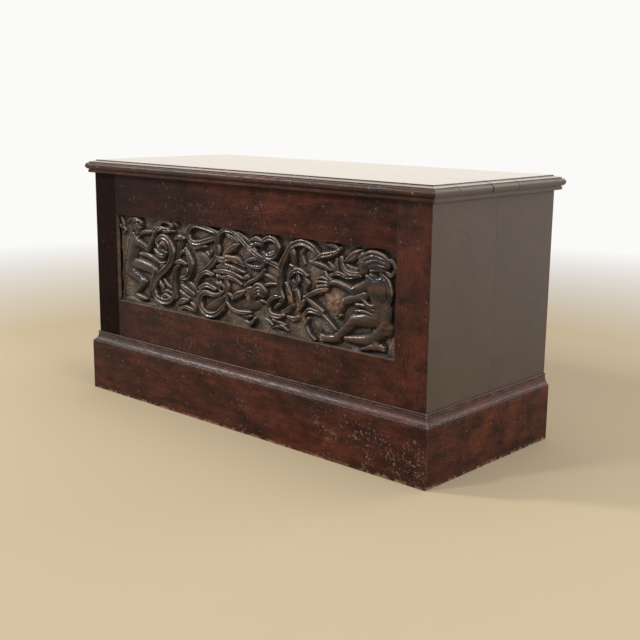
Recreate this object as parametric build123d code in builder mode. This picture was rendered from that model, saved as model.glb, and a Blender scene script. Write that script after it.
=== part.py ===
import os
from math import atan, degrees

from build123d import *

os.makedirs("parts", exist_ok=True)

# A carved chest with a flat moulded lid, a framed front panel and a tall plinth.
# Millimetres. X runs along the chest, -Y is the front, Z is up from the floor.

# Case
case_length = 1180
case_depth = 490
case_top = 634.5  # height of the walls' top edges
wall_foot_gap = 6  # the walls stop short of the floor, inside the plinth
side_thickness = 24
side_front_board_width = 245
back_thickness = 20
back_lap = 10
rebate_lip = 12  # side board left standing outside the back

# Front frame and its panel
frame_thickness = 32
stile_width = 92.5
top_rail_width = 119
bottom_rail_width = 171.5
panel_height = 244  # between the rails
panel_recess = 17  # from the frame's face back to the carving's ground
panel_tongue = 10
panel_tongue_thickness = 8
panel_float = 1  # room for the panel to swell in its groove
carving_length = 995  # the opening that the carving's lines are drawn for
carving_height = 244
carving_middle = 393.5  # height of that opening's middle
carving_root = 2  # how deep the carved forms' feet reach into the panel
strap_width = 14
strap_rise = 13
strap_slope = 3  # how far a strap's sides lean in
limb_rise = 13.5
limb_slope = 3  # the flat cut along a limb's edges
limb_end = 0.85  # a limb's end stands out by this share of its half width
far_limb_rise = 11
body_rise = 14.5
head_rise = 15.5
tenon_length = 40
tenon_thickness = 10
tenon_shoulder = 15
tenon_end_gap = 1

# Bottom
bottom_height = 130  # underside of the bottom boards
bottom_thickness = 18
ledger_width = 24
ledger_height = 24
corner_block_width = 40

# Plinth and its cap moulding
plinth_thickness = 16
plinth_height = 138
cap_height = 31
cap_bead = 4  # height of the bead at the cap's foot
cap_fillet = 2
cap_cove_foot = 12.5  # how far the cove's foot stands out from the wall
cap_neck = 4  # how far the cove's head stands out from the wall
cap_cove_height = 16
cap_quirk = 1.5
cap_top_bead = 5
block_length = 60
block_width = 30
block_height = 40
block_spacing = 300

# Lid
lid_thickness = 27.5
lid_overhang = 20
lid_field_inset = 2.6  # the raised field's edge stands inside the case's face
lid_field_step = 2
lid_slope_foot = 12  # how far out from the case's face the sloped band ends
lid_slope_drop = 3.5
lid_torus_height = 17.4
lid_torus_bulge = 6.5
lid_throat = 11.5  # how far out the groove under the half-round reaches
lid_throat_height = 1.7
lid_front_width = 89
lid_front_middle_width = 126
lid_rear_middle_width = 107
band_height = 8.1
band_projection = 13.7
band_clearance = 1  # between the band and the case's walls
band_edge_radius = 2
batten_width = 45
batten_thickness = 18
batten_inset = 210  # from the case's end to the batten's middle
batten_front_gap = 8
batten_back_gap = 30
batten_chamfer = 10

# Hinges
hinge_inset = 190  # from the case's end to the hinge's middle
hinge_setback = 2  # the pins stand this far behind the case
leaf_length = 90
leaf_reach = 20
leaf_thickness = 2.5
leaf_clearance = 0.2
knuckle_radius = 4
knuckle_count = 3
knuckle_gap = 0.3
knuckle_clearance = 0.4
pin_radius = 2
pin_clearance = 0.05

# Square cut nails, and the countersunk holes for the hinges' screws
nail_width = 3
nail_length = 38
nail_head_width = 8
nail_head_thickness = 1.2
nail_clearance = 0.2
back_nail_spacing = 120
screw_radius = 1.8
screw_head_radius = 3.4
screw_spacing = 30

# Places that follow from the sizes above
half_length = case_length / 2
half_depth = case_depth / 2
side_inside = half_length - side_thickness
front_inside = frame_thickness - half_depth
back_inside = half_depth - back_thickness
rail_end = half_length - stile_width
bottom_rail_head = case_top - top_rail_width - panel_height
hinge_y = half_depth + hinge_setback
sides = {"left": -1, "right": 1}
along_x = (0, 90, 0)


def save(piece, name):
    piece.part.label = name
    export_step(piece.part, f"parts/{name}.step")


# ---- Square nails, and the slightly wider holes that they stand in ----


# Each plane's Z axis points out of the nail's head.
def nails(planes):
    with BuildPart() as group:
        for plane in planes:
            with BuildSketch(plane):
                Rectangle(nail_width, nail_width)
            extrude(amount=-nail_length)
            with BuildSketch(plane):
                Rectangle(nail_head_width, nail_head_width)
            extrude(amount=nail_head_thickness)
    return group


def nail_holes(planes):
    width = nail_width + 2 * nail_clearance
    for plane in planes:
        with BuildSketch(plane) as hole:
            Rectangle(width, width)
        extrude(hole.sketch, amount=-nail_length - nail_clearance, mode=Mode.SUBTRACT)


# ---- Hinges: each leaf is let into its board, and the pins stand just behind the case ----

hinge_places = {
    name: (way * (half_length - hinge_inset), hinge_y, case_top) for name, way in sides.items()
}
leaf_middle = hinge_y - (leaf_reach + knuckle_radius) / 2


screw_taper = degrees(atan((screw_head_radius - screw_radius) / leaf_thickness))


# way is -1 for the case's leaf, below the parting plane, and +1 for the lid's.
def hinge_leaf(name, way):
    knuckle_length = leaf_length / knuckle_count
    x, y, z = hinge_places[name]
    with BuildPart() as leaf:
        with Locations((x, y - leaf_reach / 2, z + way * leaf_thickness / 2)):
            Box(leaf_length, leaf_reach, leaf_thickness)
        knuckles = [
            (x + (i + 0.5) * knuckle_length - leaf_length / 2, y, z) for i in range(knuckle_count)
        ]
        own = knuckles[0::2] if way < 0 else knuckles[1::2]
        other = knuckles[1::2] if way < 0 else knuckles[0::2]
        with Locations(other):
            room = knuckle_radius + knuckle_clearance
            Cylinder(room, knuckle_length + knuckle_gap, rotation=along_x, mode=Mode.SUBTRACT)
        with Locations(own):
            Cylinder(knuckle_radius, knuckle_length - knuckle_gap, rotation=along_x)
        with Locations((x, y, z)):
            bore = pin_radius + pin_clearance
            Cylinder(bore, 2 * leaf_length, rotation=along_x, mode=Mode.SUBTRACT)
        with BuildSketch(Plane(origin=(x, leaf_middle, z), z_dir=(0, 0, -way))):
            with GridLocations(screw_spacing, 1, 3, 1):
                Circle(screw_head_radius)
        extrude(amount=-leaf_thickness, taper=screw_taper, mode=Mode.SUBTRACT)
    return leaf


# The shallow housings that take the leaves, with a round one for the barrels.
def hinge_housings(way):
    length = leaf_length + 2 * leaf_clearance
    for x, y, z in hinge_places.values():
        reach = leaf_reach + leaf_clearance
        with Locations((x, y - reach / 2, z + way * leaf_thickness / 2)):
            Box(length, reach, leaf_thickness, mode=Mode.SUBTRACT)
        with Locations((x, y, z)):
            room = knuckle_radius + knuckle_clearance
            Cylinder(room, length, rotation=along_x, mode=Mode.SUBTRACT)


for name, place in hinge_places.items():
    save(hinge_leaf(name, -1), f"hinge_case_leaf_{name}")
    save(hinge_leaf(name, 1), f"hinge_lid_leaf_{name}")
    with BuildPart() as hinge_pin:
        with Locations(place):
            Cylinder(pin_radius, leaf_length, rotation=along_x)
    save(hinge_pin, f"hinge_pin_{name}")

# ---- Front frame: stiles and rails, mortised and tenoned, grooved for the panel ----

rails = {
    "top": (bottom_rail_head + panel_height, case_top),
    "bottom": (bottom_rail_head - bottom_rail_width, bottom_rail_head),
}
panel_front = panel_recess - half_depth
panel_middle = bottom_rail_head + panel_height / 2
groove_middle = (panel_front + front_inside) / 2
groove_depth = panel_tongue + panel_float
tenon_middle = front_inside - frame_thickness / 2

# Each stile is mitred to its side board, with a square shoulder behind the mitre.
for name, way in sides.items():
    with BuildPart() as stile:
        with BuildSketch(Plane.XY.offset(wall_foot_gap)):
            with BuildLine():
                Polyline(
                    (way * rail_end, -half_depth),
                    (way * half_length, -half_depth),
                    (way * side_inside, side_thickness - half_depth),
                    (way * side_inside, front_inside),
                    (way * rail_end, front_inside),
                    close=True,
                )
            make_face()
        extrude(amount=case_top - wall_foot_gap)
        with Locations((way * rail_end, groove_middle, panel_middle)):
            groove_height = panel_height + 2 * groove_depth
            Box(2 * groove_depth, panel_tongue_thickness, groove_height, mode=Mode.SUBTRACT)
        for foot, head in rails.values():
            with Locations((way * rail_end, tenon_middle, (foot + head) / 2)):
                depth = tenon_length + tenon_end_gap
                height = head - foot - 2 * tenon_shoulder
                Box(2 * depth, tenon_thickness, height, mode=Mode.SUBTRACT)
    save(stile, f"front_stile_{name}")

for name, (foot, head) in rails.items():
    with BuildPart() as rail:
        with Locations((0, tenon_middle, (foot + head) / 2)):
            Box(2 * rail_end, frame_thickness, head - foot)
            height = head - foot - 2 * tenon_shoulder
            Box(2 * (rail_end + tenon_length), tenon_thickness, height)
        with Locations((0, groove_middle, foot if name == "top" else head)):
            Box(2 * rail_end, panel_tongue_thickness, 2 * groove_depth, mode=Mode.SUBTRACT)
    save(rail, f"front_rail_{name}")

# ---- Carved panel, held by its tongue in the frame's groove ----

# Its ground is cut back, and the carving stands out from it towards the frame's face.
ground = Plane(origin=(0, panel_front, 0), x_dir=(1, 0, 0), z_dir=(0, -1, 0))
root = ground.offset(-carving_root)


# A place of the drawn carving, brought to the frame's real opening.
def placed(x, z):
    across = x * 2 * rail_end / carving_length
    up = (z - carving_middle) * panel_height / carving_height
    return (across, panel_middle + up)


# A strap of scrollwork along a smooth line. Its sides slope, and its foot is in the panel.
def strap(*line):
    with BuildLine(ground) as way:
        Spline(*[placed(*point) for point in line])
    start = Plane(origin=way.line @ 0, x_dir=(0, -1, 0), z_dir=way.line % 0)
    half_width = strap_width / 2
    with BuildSketch(start) as section:
        with BuildLine():
            Polyline(
                (-carving_root, -half_width),
                (strap_rise, strap_slope - half_width),
                (strap_rise, half_width - strap_slope),
                (-carving_root, half_width),
                close=True,
            )
        make_face()
    return sweep(section.sketch, path=way.line, mode=Mode.PRIVATE)


# A head, a limb or a leaf, tapering from one place to the next, cut with flats.
def limb(start, end, start_width, end_width, rise=limb_rise):
    start, end = placed(*start), placed(*end)
    along = Vector(end[0] - start[0], 0, end[1] - start[1])
    foot = Plane(origin=(start[0], root.origin.Y, start[1]), x_dir=along, z_dir=root.z_dir)
    near, far = start_width / 2, end_width / 2
    with BuildSketch(foot) as outline:
        with BuildLine():
            Polyline(
                (-near * limb_end, near / 2),
                (-near * limb_end, -near / 2),
                (0, -near),
                (along.length, -far),
                (along.length + far * limb_end, -far / 2),
                (along.length + far * limb_end, far / 2),
                (along.length, far),
                (0, near),
                close=True,
            )
        make_face()
    block = extrude(outline.sketch, amount=rise + carving_root, mode=Mode.PRIVATE)
    return chamfer(block.faces().sort_by(Axis.Y)[0].edges(), limb_slope)


# kneeling man at the left, looking right
shoulder, waist, hip = (-431, 452), (-446, 412), (-457, 366)
elbow, knee, far_knee = (-367, 429), (-393, 337), (-342, 372)
kneeling_man = [
    limb((-414, 484), (-420, 494), 30, 34, head_rise),
    limb((-426, 478), shoulder, 22, 30),
    limb(shoulder, waist, 48, 44, body_rise),
    limb(waist, hip, 44, 50, body_rise),
    limb(hip, knee, 44, 27),
    limb(knee, (-429, 303), 25, 17),
    limb((-434, 297), (-388, 289), 17, 12),
    limb((-446, 382), far_knee, 34, 24, far_limb_rise),
    limb(far_knee, (-368, 300), 22, 15, far_limb_rise),
    limb((-426, 449), elbow, 24, 18),
    limb(elbow, (-338, 482), 18, 14),
    limb(shoulder, (-345, 478), 18, 12, far_limb_rise),
    limb((-407, 412), (-312, 393), 13, 10, far_limb_rise),
]

# crouching man at the right, looking left
shoulder, waist, hip = (423, 440), (441, 401), (456, 362)
elbow, knee, far_elbow = (370, 411), (374, 344), (341, 381)
heel = (419, 306)
crouching_man = [
    limb((424, 482), (440, 486), 38, 40, head_rise),
    limb((398, 470), (406, 478), 30, 32, head_rise),
    limb((416, 468), shoulder, 26, 36),
    limb(shoulder, waist, 56, 50, body_rise),
    limb(waist, hip, 50, 54, body_rise),
    limb(hip, knee, 50, 29),
    limb(knee, (323, 297), 27, 20),
    limb((323, 293), (279, 284), 20, 13),
    limb((466, 350), heel, 38, 28, far_limb_rise),
    limb(heel, (346, 295), 26, 14, far_limb_rise),
    limb((419, 437), elbow, 28, 20),
    limb(elbow, (296, 420), 20, 15),
    limb((296, 420), (256, 416), 17, 11, far_limb_rise),
    limb((410, 405), far_elbow, 27, 19, far_limb_rise),
    limb(far_elbow, (322, 346), 18, 12, far_limb_rise),
    limb((440, 292), (395, 278), 18, 10),
]

# child's head in the middle, its hair behind its face
child_head = [limb((58, 368), (70, 374), 32, 34), limb((33, 354), (41, 364), 30, 34, head_rise)]

leaves = [
    limb((-90, 437), (-13, 434), 12, 20),
    limb((-13, 434), (22, 414), 19, 10),
    limb((-104, 402), (-30, 402), 11, 17),
    limb((-30, 402), (10, 388), 16, 10),
    limb((-60, 384), (-54, 332), 14, 10),
    limb((340, 474), (392, 503), 20, 15),
    limb((303, 440), (380, 444), 12, 10),
    limb((287, 403), (219, 376), 17, 12),
    limb((219, 376), (270, 352), 13, 16),
    limb((270, 352), (312, 314), 15, 10),
    limb((-215, 309), (-251, 291), 10, 17),
    limb((207, 372), (192, 334), 16, 10),
    limb((217, 332), (284, 340), 10, 16),
    limb((-292, 504), (-262, 494), 18, 10),
    limb((-322, 496), (-292, 504), 10, 17),
    limb((20, 439), (76, 439), 12, 18),
]

scrollwork = [
    # beside the kneeling man
    strap((-332, 456), (-310, 468), (-282, 463), (-266, 428), (-290, 386), (-334, 350),
          (-345, 322), (-322, 294), (-286, 295), (-268, 308)),
    strap((-215, 445), (-200, 431), (-190, 409), (-196, 385), (-232, 365)),
    strap((-232, 468), (-246, 398), (-260, 354), (-256, 310)),
    # loop and long ribbon, and the volute under them
    strap((-106, 481), (-133, 473), (-163, 467), (-190, 472), (-196, 492), (-169, 505), (-109, 503),
          (-62, 506), (-27, 503), (22, 477), (72, 453), (138, 430)),
    strap((-82, 500), (-88, 460), (-101, 428), (-152, 390), (-174, 367)),
    strap((-54, 330), (-100, 286), (-130, 284), (-157, 309), (-143, 334), (-100, 336)),
    # stem and its curls right of the middle
    strap((76, 480), (84, 497), (104, 504), (126, 496), (129, 474), (107, 458)),
    strap((175, 497), (145, 450), (135, 399), (144, 358)),
    strap((146, 366), (112, 356), (96, 332), (110, 317), (148, 321)),
    # beside the crouching man
    strap((156, 474), (177, 494), (207, 502), (235, 498), (266, 468)),
    strap((246, 467), (272, 479), (325, 494)),
]

with BuildPart() as carved_panel:
    with Locations((0, groove_middle, panel_middle)):
        Box(2 * rail_end, front_inside - panel_front, panel_height)
        length = 2 * (rail_end + panel_tongue)
        Box(length, panel_tongue_thickness, panel_height + 2 * panel_tongue)
    add(scrollwork)
    add(leaves)
    add(child_head)
    add(kneeling_man)
    add(crouching_man)
save(carved_panel, "carved_panel")

# ---- Sides: two upright boards each, the rear one rebated for the back ----

back_names = ["bottom", "middle", "top"]
back_board_height = (case_top - wall_foot_gap) / len(back_names)
back_half_length = half_length - rebate_lip
back_nail_planes = [
    Plane(origin=(way * (back_half_length + side_inside) / 2, half_depth, z), z_dir=(0, 1, 0))
    for way in sides.values()
    for middle in [wall_foot_gap + (i + 0.5) * back_board_height for i in range(len(back_names))]
    for z in (middle - back_nail_spacing / 2, middle + back_nail_spacing / 2)
]
side_joint = side_front_board_width - half_depth

for name, way in sides.items():
    with BuildPart() as front_board:
        with BuildSketch(Plane.XY.offset(wall_foot_gap)):
            with BuildLine():
                Polyline(
                    (way * half_length, -half_depth),
                    (way * half_length, side_joint),
                    (way * side_inside, side_joint),
                    (way * side_inside, side_thickness - half_depth),
                    close=True,
                )
            make_face()
        extrude(amount=case_top - wall_foot_gap)
    save(front_board, f"side_board_{name}_front")

    with BuildPart() as rear_board:
        with BuildSketch(Plane.XY.offset(wall_foot_gap)):
            with BuildLine():
                Polyline(
                    (way * half_length, side_joint),
                    (way * half_length, half_depth),
                    (way * back_half_length, half_depth),
                    (way * back_half_length, back_inside),
                    (way * side_inside, back_inside),
                    (way * side_inside, side_joint),
                    close=True,
                )
            make_face()
        extrude(amount=case_top - wall_foot_gap)
        nail_holes(back_nail_planes)
    save(rear_board, f"side_board_{name}_rear")

# ---- Back: lapped boards nailed into the side boards' rebates ----

lap_middle = (back_inside + half_depth) / 2
across_back = Plane(origin=(0, 0, 0), x_dir=(0, 1, 0), z_dir=(1, 0, 0))

for i, name in enumerate(back_names):
    foot = wall_foot_gap + i * back_board_height
    head = foot + back_board_height
    inner_foot = foot if name == back_names[0] else foot + back_lap
    inner_head = head if name == back_names[-1] else head + back_lap
    with BuildPart() as back_board:
        with BuildSketch(across_back):
            with Locations((lap_middle, foot)):
                Rectangle(back_thickness / 2, head - foot, align=Align.MIN)
            with Locations((back_inside, inner_foot)):
                Rectangle(back_thickness / 2, inner_head - inner_foot, align=Align.MIN)
        extrude(amount=back_half_length, both=True)
        nail_holes(back_nail_planes)
        if name == "top":
            hinge_housings(-1)
    save(back_board, f"back_board_{name}")

save(nails(back_nail_planes), "back_nails")

# ---- Bottom: boards on ledgers, with a glue block in each lower corner ----

bottom_names = ["front", "middle", "rear"]
bottom_board_width = (back_inside - front_inside) / len(bottom_names)

for i, name in enumerate(bottom_names):
    with BuildPart() as bottom_board:
        middle = front_inside + (i + 0.5) * bottom_board_width
        with Locations((0, middle, bottom_height + bottom_thickness / 2)):
            Box(2 * side_inside, bottom_board_width, bottom_thickness)
    save(bottom_board, f"bottom_board_{name}")

block_inside = side_inside - corner_block_width
ledger_middle = bottom_height - ledger_height / 2

for name, y in (("front", front_inside + ledger_width / 2), ("back", back_inside - ledger_width / 2)):
    with BuildPart() as ledger:
        with Locations((0, y, ledger_middle)):
            Box(2 * block_inside, ledger_width, ledger_height)
    save(ledger, f"bottom_ledger_{name}")

for name, way in sides.items():
    with BuildPart() as ledger:
        x = way * (side_inside - ledger_width / 2)
        with Locations((x, (front_inside + back_inside) / 2, ledger_middle)):
            length = back_inside - front_inside - 2 * corner_block_width
            Box(ledger_width, length, ledger_height)
    save(ledger, f"bottom_ledger_{name}")

with BuildPart() as corner_blocks:
    for way in sides.values():
        x = way * (side_inside - corner_block_width / 2)
        for y in (front_inside + corner_block_width / 2, back_inside - corner_block_width / 2):
            with Locations((x, y, (wall_foot_gap + bottom_height) / 2)):
                Box(corner_block_width, corner_block_width, bottom_height - wall_foot_gap)
save(corner_blocks, "corner_blocks")

# ---- Mouldings and plinth boards that run round the front and sides ----

# In each plane, local X points out from the wall and local Y points up.
wall_planes = {
    name: Plane(origin=(way * half_length, 0, 0), x_dir=(way, 0, 0), z_dir=(0, -way, 0))
    for name, way in sides.items()
}
wall_planes["front"] = Plane(origin=(0, -half_depth, 0), x_dir=(0, -1, 0), z_dir=(-1, 0, 0))
mitres = {
    name: Plane(origin=(way * half_length, -half_depth, 0), z_dir=(way, 1, 0))
    for name, way in sides.items()
}


# reach is how far the profile stands out, and back_overhang how far the side runs pass the back.
def wall_runs(name, profile, reach, back_overhang=0):
    for wall, plane in wall_planes.items():
        half_run = half_length if wall == "front" else half_depth
        with BuildPart() as run:
            extrude(profile(plane), amount=half_run + reach, both=True)
            if wall == "front":
                split(bisect_by=mitres["left"], keep=Keep.BOTTOM)
                split(bisect_by=mitres["right"], keep=Keep.BOTTOM)
            else:
                split(bisect_by=mitres[wall], keep=Keep.TOP)
                back_end = Plane(origin=(0, half_depth + back_overhang, 0), z_dir=(0, 1, 0))
                split(bisect_by=back_end, keep=Keep.BOTTOM)
        save(run, f"{name}_{wall}")


def plinth_profile(plane):
    with BuildSketch(plane) as profile:
        Rectangle(plinth_thickness, plinth_height, align=Align.MIN)
    return profile.sketch


# From the foot up: a bead, a fillet, a cove, a quirk and a top bead.
def cap_profile(plane):
    bead_head = plinth_height + cap_bead
    cove_foot = bead_head + cap_fillet
    cove_head = cove_foot + cap_cove_height
    cap_head = plinth_height + cap_height
    bead_back = plinth_thickness - cap_bead / 2
    top_bead_foot = cap_head - cap_top_bead
    top_bead_back = cap_neck - cap_quirk
    with BuildSketch(plane) as profile:
        with BuildLine():
            Line((0, plinth_height), (bead_back, plinth_height))
            ThreePointArc(
                (bead_back, plinth_height),
                (plinth_thickness, plinth_height + cap_bead / 2),
                (bead_back, bead_head),
            )
            Polyline((bead_back, bead_head), (cap_cove_foot, bead_head), (cap_cove_foot, cove_foot))
            TangentArc((cap_neck, cove_head), (cap_cove_foot, cove_foot), tangent=(0, -1))
            Polyline(
                (cap_neck, cove_head),
                (cap_neck, top_bead_foot - cap_quirk),
                (top_bead_back, top_bead_foot - cap_quirk),
                (top_bead_back, top_bead_foot),
            )
            ThreePointArc(
                (top_bead_back, top_bead_foot),
                (top_bead_back + cap_top_bead / 2, (top_bead_foot + cap_head) / 2),
                (top_bead_back, cap_head),
            )
            Polyline((top_bead_back, cap_head), (0, cap_head), (0, plinth_height))
        make_face()
    return profile.sketch


def band_profile(plane):
    foot = case_top - band_height
    round_start = band_projection - band_edge_radius
    with BuildSketch(plane) as profile:
        with BuildLine():
            Polyline(
                (band_projection, foot + band_edge_radius),
                (band_projection, case_top),
                (band_clearance, case_top),
                (band_clearance, foot),
                (round_start, foot),
            )
            TangentArc(
                (round_start, foot),
                (band_projection, foot + band_edge_radius),
                tangent=(1, 0),
            )
        make_face()
    return profile.sketch


wall_runs("plinth", plinth_profile, plinth_thickness)
wall_runs("plinth_cap", cap_profile, plinth_thickness)
wall_runs("lid_band", band_profile, band_projection, band_projection)

# Glue blocks in the angle under the bottom rail, behind the plinth's front.
with BuildPart() as plinth_blocks:
    bottom_rail_foot = rails["bottom"][0]
    y = (block_width / 2) - half_depth
    with Locations((0, y, bottom_rail_foot - block_height / 2)):
        with GridLocations(block_spacing, 1, 3, 1):
            Box(block_length, block_width, block_height)
save(plinth_blocks, "plinth_blocks")

# ---- Lid: edge-glued boards with one moulding worked round all four sides ----


# One half of the lid's section runs from the middle of its underside round the moulding to
# the middle of the top; the other half mirrors it.
def lid_section(plane, half_width):
    torus_foot = lid_throat_height
    torus_head = torus_foot + lid_torus_height
    torus_back = half_width + lid_overhang - lid_torus_bulge
    field_edge = half_width - lid_field_inset
    slope_head = lid_thickness - lid_field_step
    slope_foot = slope_head - lid_slope_drop
    with BuildSketch(plane) as section:
        with BuildLine():
            Polyline(
                (0, 0),
                (half_width + lid_throat, 0),
                (half_width + lid_throat, torus_foot),
                (torus_back, torus_foot),
            )
            ThreePointArc(
                (torus_back, torus_foot),
                (half_width + lid_overhang, (torus_foot + torus_head) / 2),
                (torus_back, torus_head),
            )
            Polyline(
                (torus_back, torus_head),
                (half_width + lid_slope_foot, torus_head),
                (half_width + lid_slope_foot, slope_foot),
                (field_edge, slope_head),
                (field_edge, lid_thickness),
                (0, lid_thickness),
            )
            mirror(about=Plane.YZ)
        make_face()
    return section.sketch


lid_front_edge = -half_depth - lid_overhang
lid_joints = [
    lid_front_edge,
    lid_front_edge + lid_front_width,
    lid_front_edge + lid_front_width + lid_front_middle_width,
    lid_front_edge + lid_front_width + lid_front_middle_width + lid_rear_middle_width,
    half_depth + lid_overhang,
]
lid_cross_plane = Plane(origin=(0, 0, case_top), x_dir=(0, 1, 0), z_dir=(1, 0, 0))
lid_long_plane = Plane(origin=(0, 0, case_top), x_dir=(1, 0, 0), z_dir=(0, -1, 0))

# Battens across the boards, nailed up from inside.
batten_front = front_inside + batten_front_gap
batten_back = back_inside - batten_back_gap
batten_nail_rows = [
    (max(front, batten_front) + min(back, batten_back)) / 2
    for front, back in zip(lid_joints, lid_joints[1:])
]
batten_nail_planes = [
    Plane(origin=(way * (half_length - batten_inset), y, case_top - batten_thickness), z_dir=(0, 0, -1))
    for way in sides.values()
    for y in batten_nail_rows
]

for i, name in enumerate(["front", "front_middle", "rear_middle", "rear"]):
    with BuildPart() as lid_board:
        cross_section = lid_section(lid_cross_plane, half_depth)
        long_section = lid_section(lid_long_plane, half_length)
        extrude(cross_section, amount=half_length + lid_overhang, both=True)
        extrude(long_section, amount=half_depth + lid_overhang, both=True, mode=Mode.INTERSECT)
        with Locations((0, lid_joints[i], case_top)):
            Box(
                2 * (half_length + lid_overhang),
                lid_joints[i + 1] - lid_joints[i],
                lid_thickness,
                align=(Align.CENTER, Align.MIN, Align.MIN),
                mode=Mode.INTERSECT,
            )
        nail_holes(batten_nail_planes)
        if name == "rear":
            hinge_housings(1)
    save(lid_board, f"lid_board_{name}")

for name, way in sides.items():
    with BuildPart() as batten:
        with Locations((way * (half_length - batten_inset), batten_front, case_top)):
            Box(
                batten_width,
                batten_back - batten_front,
                batten_thickness,
                align=(Align.CENTER, Align.MIN, Align.MAX),
            )
        lower_ends = batten.faces().sort_by(Axis.Z)[0].edges().filter_by(Axis.X)
        chamfer(lower_ends, batten_chamfer)
        nail_holes(batten_nail_planes)
    save(batten, f"lid_batten_{name}")

save(nails(batten_nail_planes), "batten_nails")
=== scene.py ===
import math

import bpy
import numpy as np
from mathutils import Matrix, Vector


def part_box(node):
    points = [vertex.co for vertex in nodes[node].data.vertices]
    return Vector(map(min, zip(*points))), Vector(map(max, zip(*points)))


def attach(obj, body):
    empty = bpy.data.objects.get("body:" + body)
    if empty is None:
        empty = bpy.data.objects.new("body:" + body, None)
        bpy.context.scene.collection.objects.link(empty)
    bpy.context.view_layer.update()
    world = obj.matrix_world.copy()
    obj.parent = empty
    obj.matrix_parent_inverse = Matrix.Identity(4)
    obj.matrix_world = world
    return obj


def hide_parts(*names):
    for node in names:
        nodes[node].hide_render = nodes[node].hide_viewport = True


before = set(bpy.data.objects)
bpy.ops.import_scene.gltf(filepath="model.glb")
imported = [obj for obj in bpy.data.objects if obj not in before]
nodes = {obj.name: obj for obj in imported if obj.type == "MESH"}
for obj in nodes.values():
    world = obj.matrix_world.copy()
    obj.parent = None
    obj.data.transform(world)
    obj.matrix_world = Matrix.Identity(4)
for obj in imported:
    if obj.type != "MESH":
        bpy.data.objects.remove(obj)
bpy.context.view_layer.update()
print("frame loaded,", len(nodes), "nodes")

mm = 0.001


def pick(piece):
    if bpy.context.object and bpy.context.object.mode != "OBJECT":
        bpy.ops.object.mode_set(mode="OBJECT")
    bpy.ops.object.select_all(action="DESELECT")
    piece.select_set(True)
    bpy.context.view_layer.objects.active = piece


def applyAll(piece):
    pick(piece)
    for modifier in list(piece.modifiers):
        bpy.ops.object.modifier_apply(modifier=modifier.name)


# Camera, floor and light
studio = {
    "eye": (1.8744, -1.9969, 0.8318),
    "aim": (-0.6594, 0.7225, -0.2070),
    "roll": 0.0105,
    "lens": 58.44,
    "floorSize": 24,
    "floorColour": (0.440, 0.357, 0.232),
    "farColour": (0.80, 0.77, 0.71),
    "farReach": (2.5, 11.0),  # where the floor pales to its far colour
    "roomColour": (0.96, 0.955, 0.94),
    "roomReach": (1.4, 3.6),  # where the floor fades into the room
    "airColour": (0.94, 0.95, 1.0),
    "airStrength": 0.45,
    "lamps": {
        # name: (place, aim, size, power, colour)
        "lampLeft": ((-2.9, -2.1, 2.75), (0, -0.2, 0.3), (0.5, 0.4), 108, (1.0, 0.98, 0.94)),
        "lampFront": ((-1.1, -3.5, 3.2), (0, 0, 0.3), (0.5, 0.4), 68, (1, 1, 1)),
        "lampRight": ((4.0, -0.7, 1.9), (0.4, 0, 0.3), (2.0, 1.6), 96, (1, 1, 1)),
        "lampBack": ((1.7, 3.0, 2.6), (1.2, 0.1, 0), (2.0, 1.6), 32, (1, 1, 1)),
        "lampTop": ((0.2, 0.3, 3.8), (0, 0, 0.3), (2.5, 2.0), 40, (1, 1, 1)),
    },
}


def setCamera():
    data = bpy.data.cameras.new("viewer")
    viewer = bpy.data.objects.new("viewer", data)
    bpy.context.scene.collection.objects.link(viewer)
    data.sensor_width = 36
    data.lens = studio["lens"]
    data.clip_start, data.clip_end = 0.05, 60
    aim = Vector(studio["aim"]).normalized()
    right = aim.cross(Vector((0, 0, 1))).normalized()
    up = right.cross(aim)
    cosRoll, sinRoll = math.cos(studio["roll"]), math.sin(studio["roll"])
    right, up = cosRoll * right + sinRoll * up, cosRoll * up - sinRoll * right
    turn = Matrix((right, up, -aim)).transposed().to_4x4()
    viewer.matrix_world = Matrix.Translation(studio["eye"]) @ turn
    bpy.context.scene.camera = viewer


def addNode(tree, kind, **values):
    node = tree.nodes.new(kind)
    for key, value in values.items():
        if hasattr(node, key):
            setattr(node, key, value)
        else:
            node.inputs[key.replace("_", " ")].default_value = value
    return node


def number(tree, operation, first, second):
    node = addNode(tree, "ShaderNodeMath", operation=operation)
    for socket, value in zip(node.inputs, (first, second)):
        if hasattr(value, "is_linked"):
            tree.links.new(value, socket)
        else:
            socket.default_value = value
    return node.outputs[0]


def times(tree, first, second):
    return number(tree, "MULTIPLY", first, second)


def largest(tree, first, *others):
    for other in others:
        first = number(tree, "MAXIMUM", first, other)
    return first


# brings a value from one span to another
def spread(tree, value, before=(0, 1), after=(0, 1)):
    node = tree.nodes.new("ShaderNodeMapRange")
    for name, limit in zip(("From Min", "From Max", "To Min", "To Max"), (*before, *after)):
        node.inputs[name].default_value = limit
    tree.links.new(value, node.inputs["Value"])
    return node.outputs["Result"]


def seenDirectly(tree):
    path = addNode(tree, "ShaderNodeLightPath")
    rays = [path.outputs[f"Is {kind} Ray"] for kind in ("Camera", "Glossy", "Transmission")]
    return largest(tree, *rays)


def mixShaders(tree, share, first, second, socket):
    mix = addNode(tree, "ShaderNodeMixShader")
    for source, place in zip((share, first.outputs[0], second.outputs[0]), mix.inputs):
        tree.links.new(source, place)
    tree.links.new(mix.outputs[0], socket)


def newMaterial(name):
    material = bpy.data.materials.new(name)
    material.use_nodes = True
    return material, material.node_tree, material.node_tree.nodes["Principled BSDF"]


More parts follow.
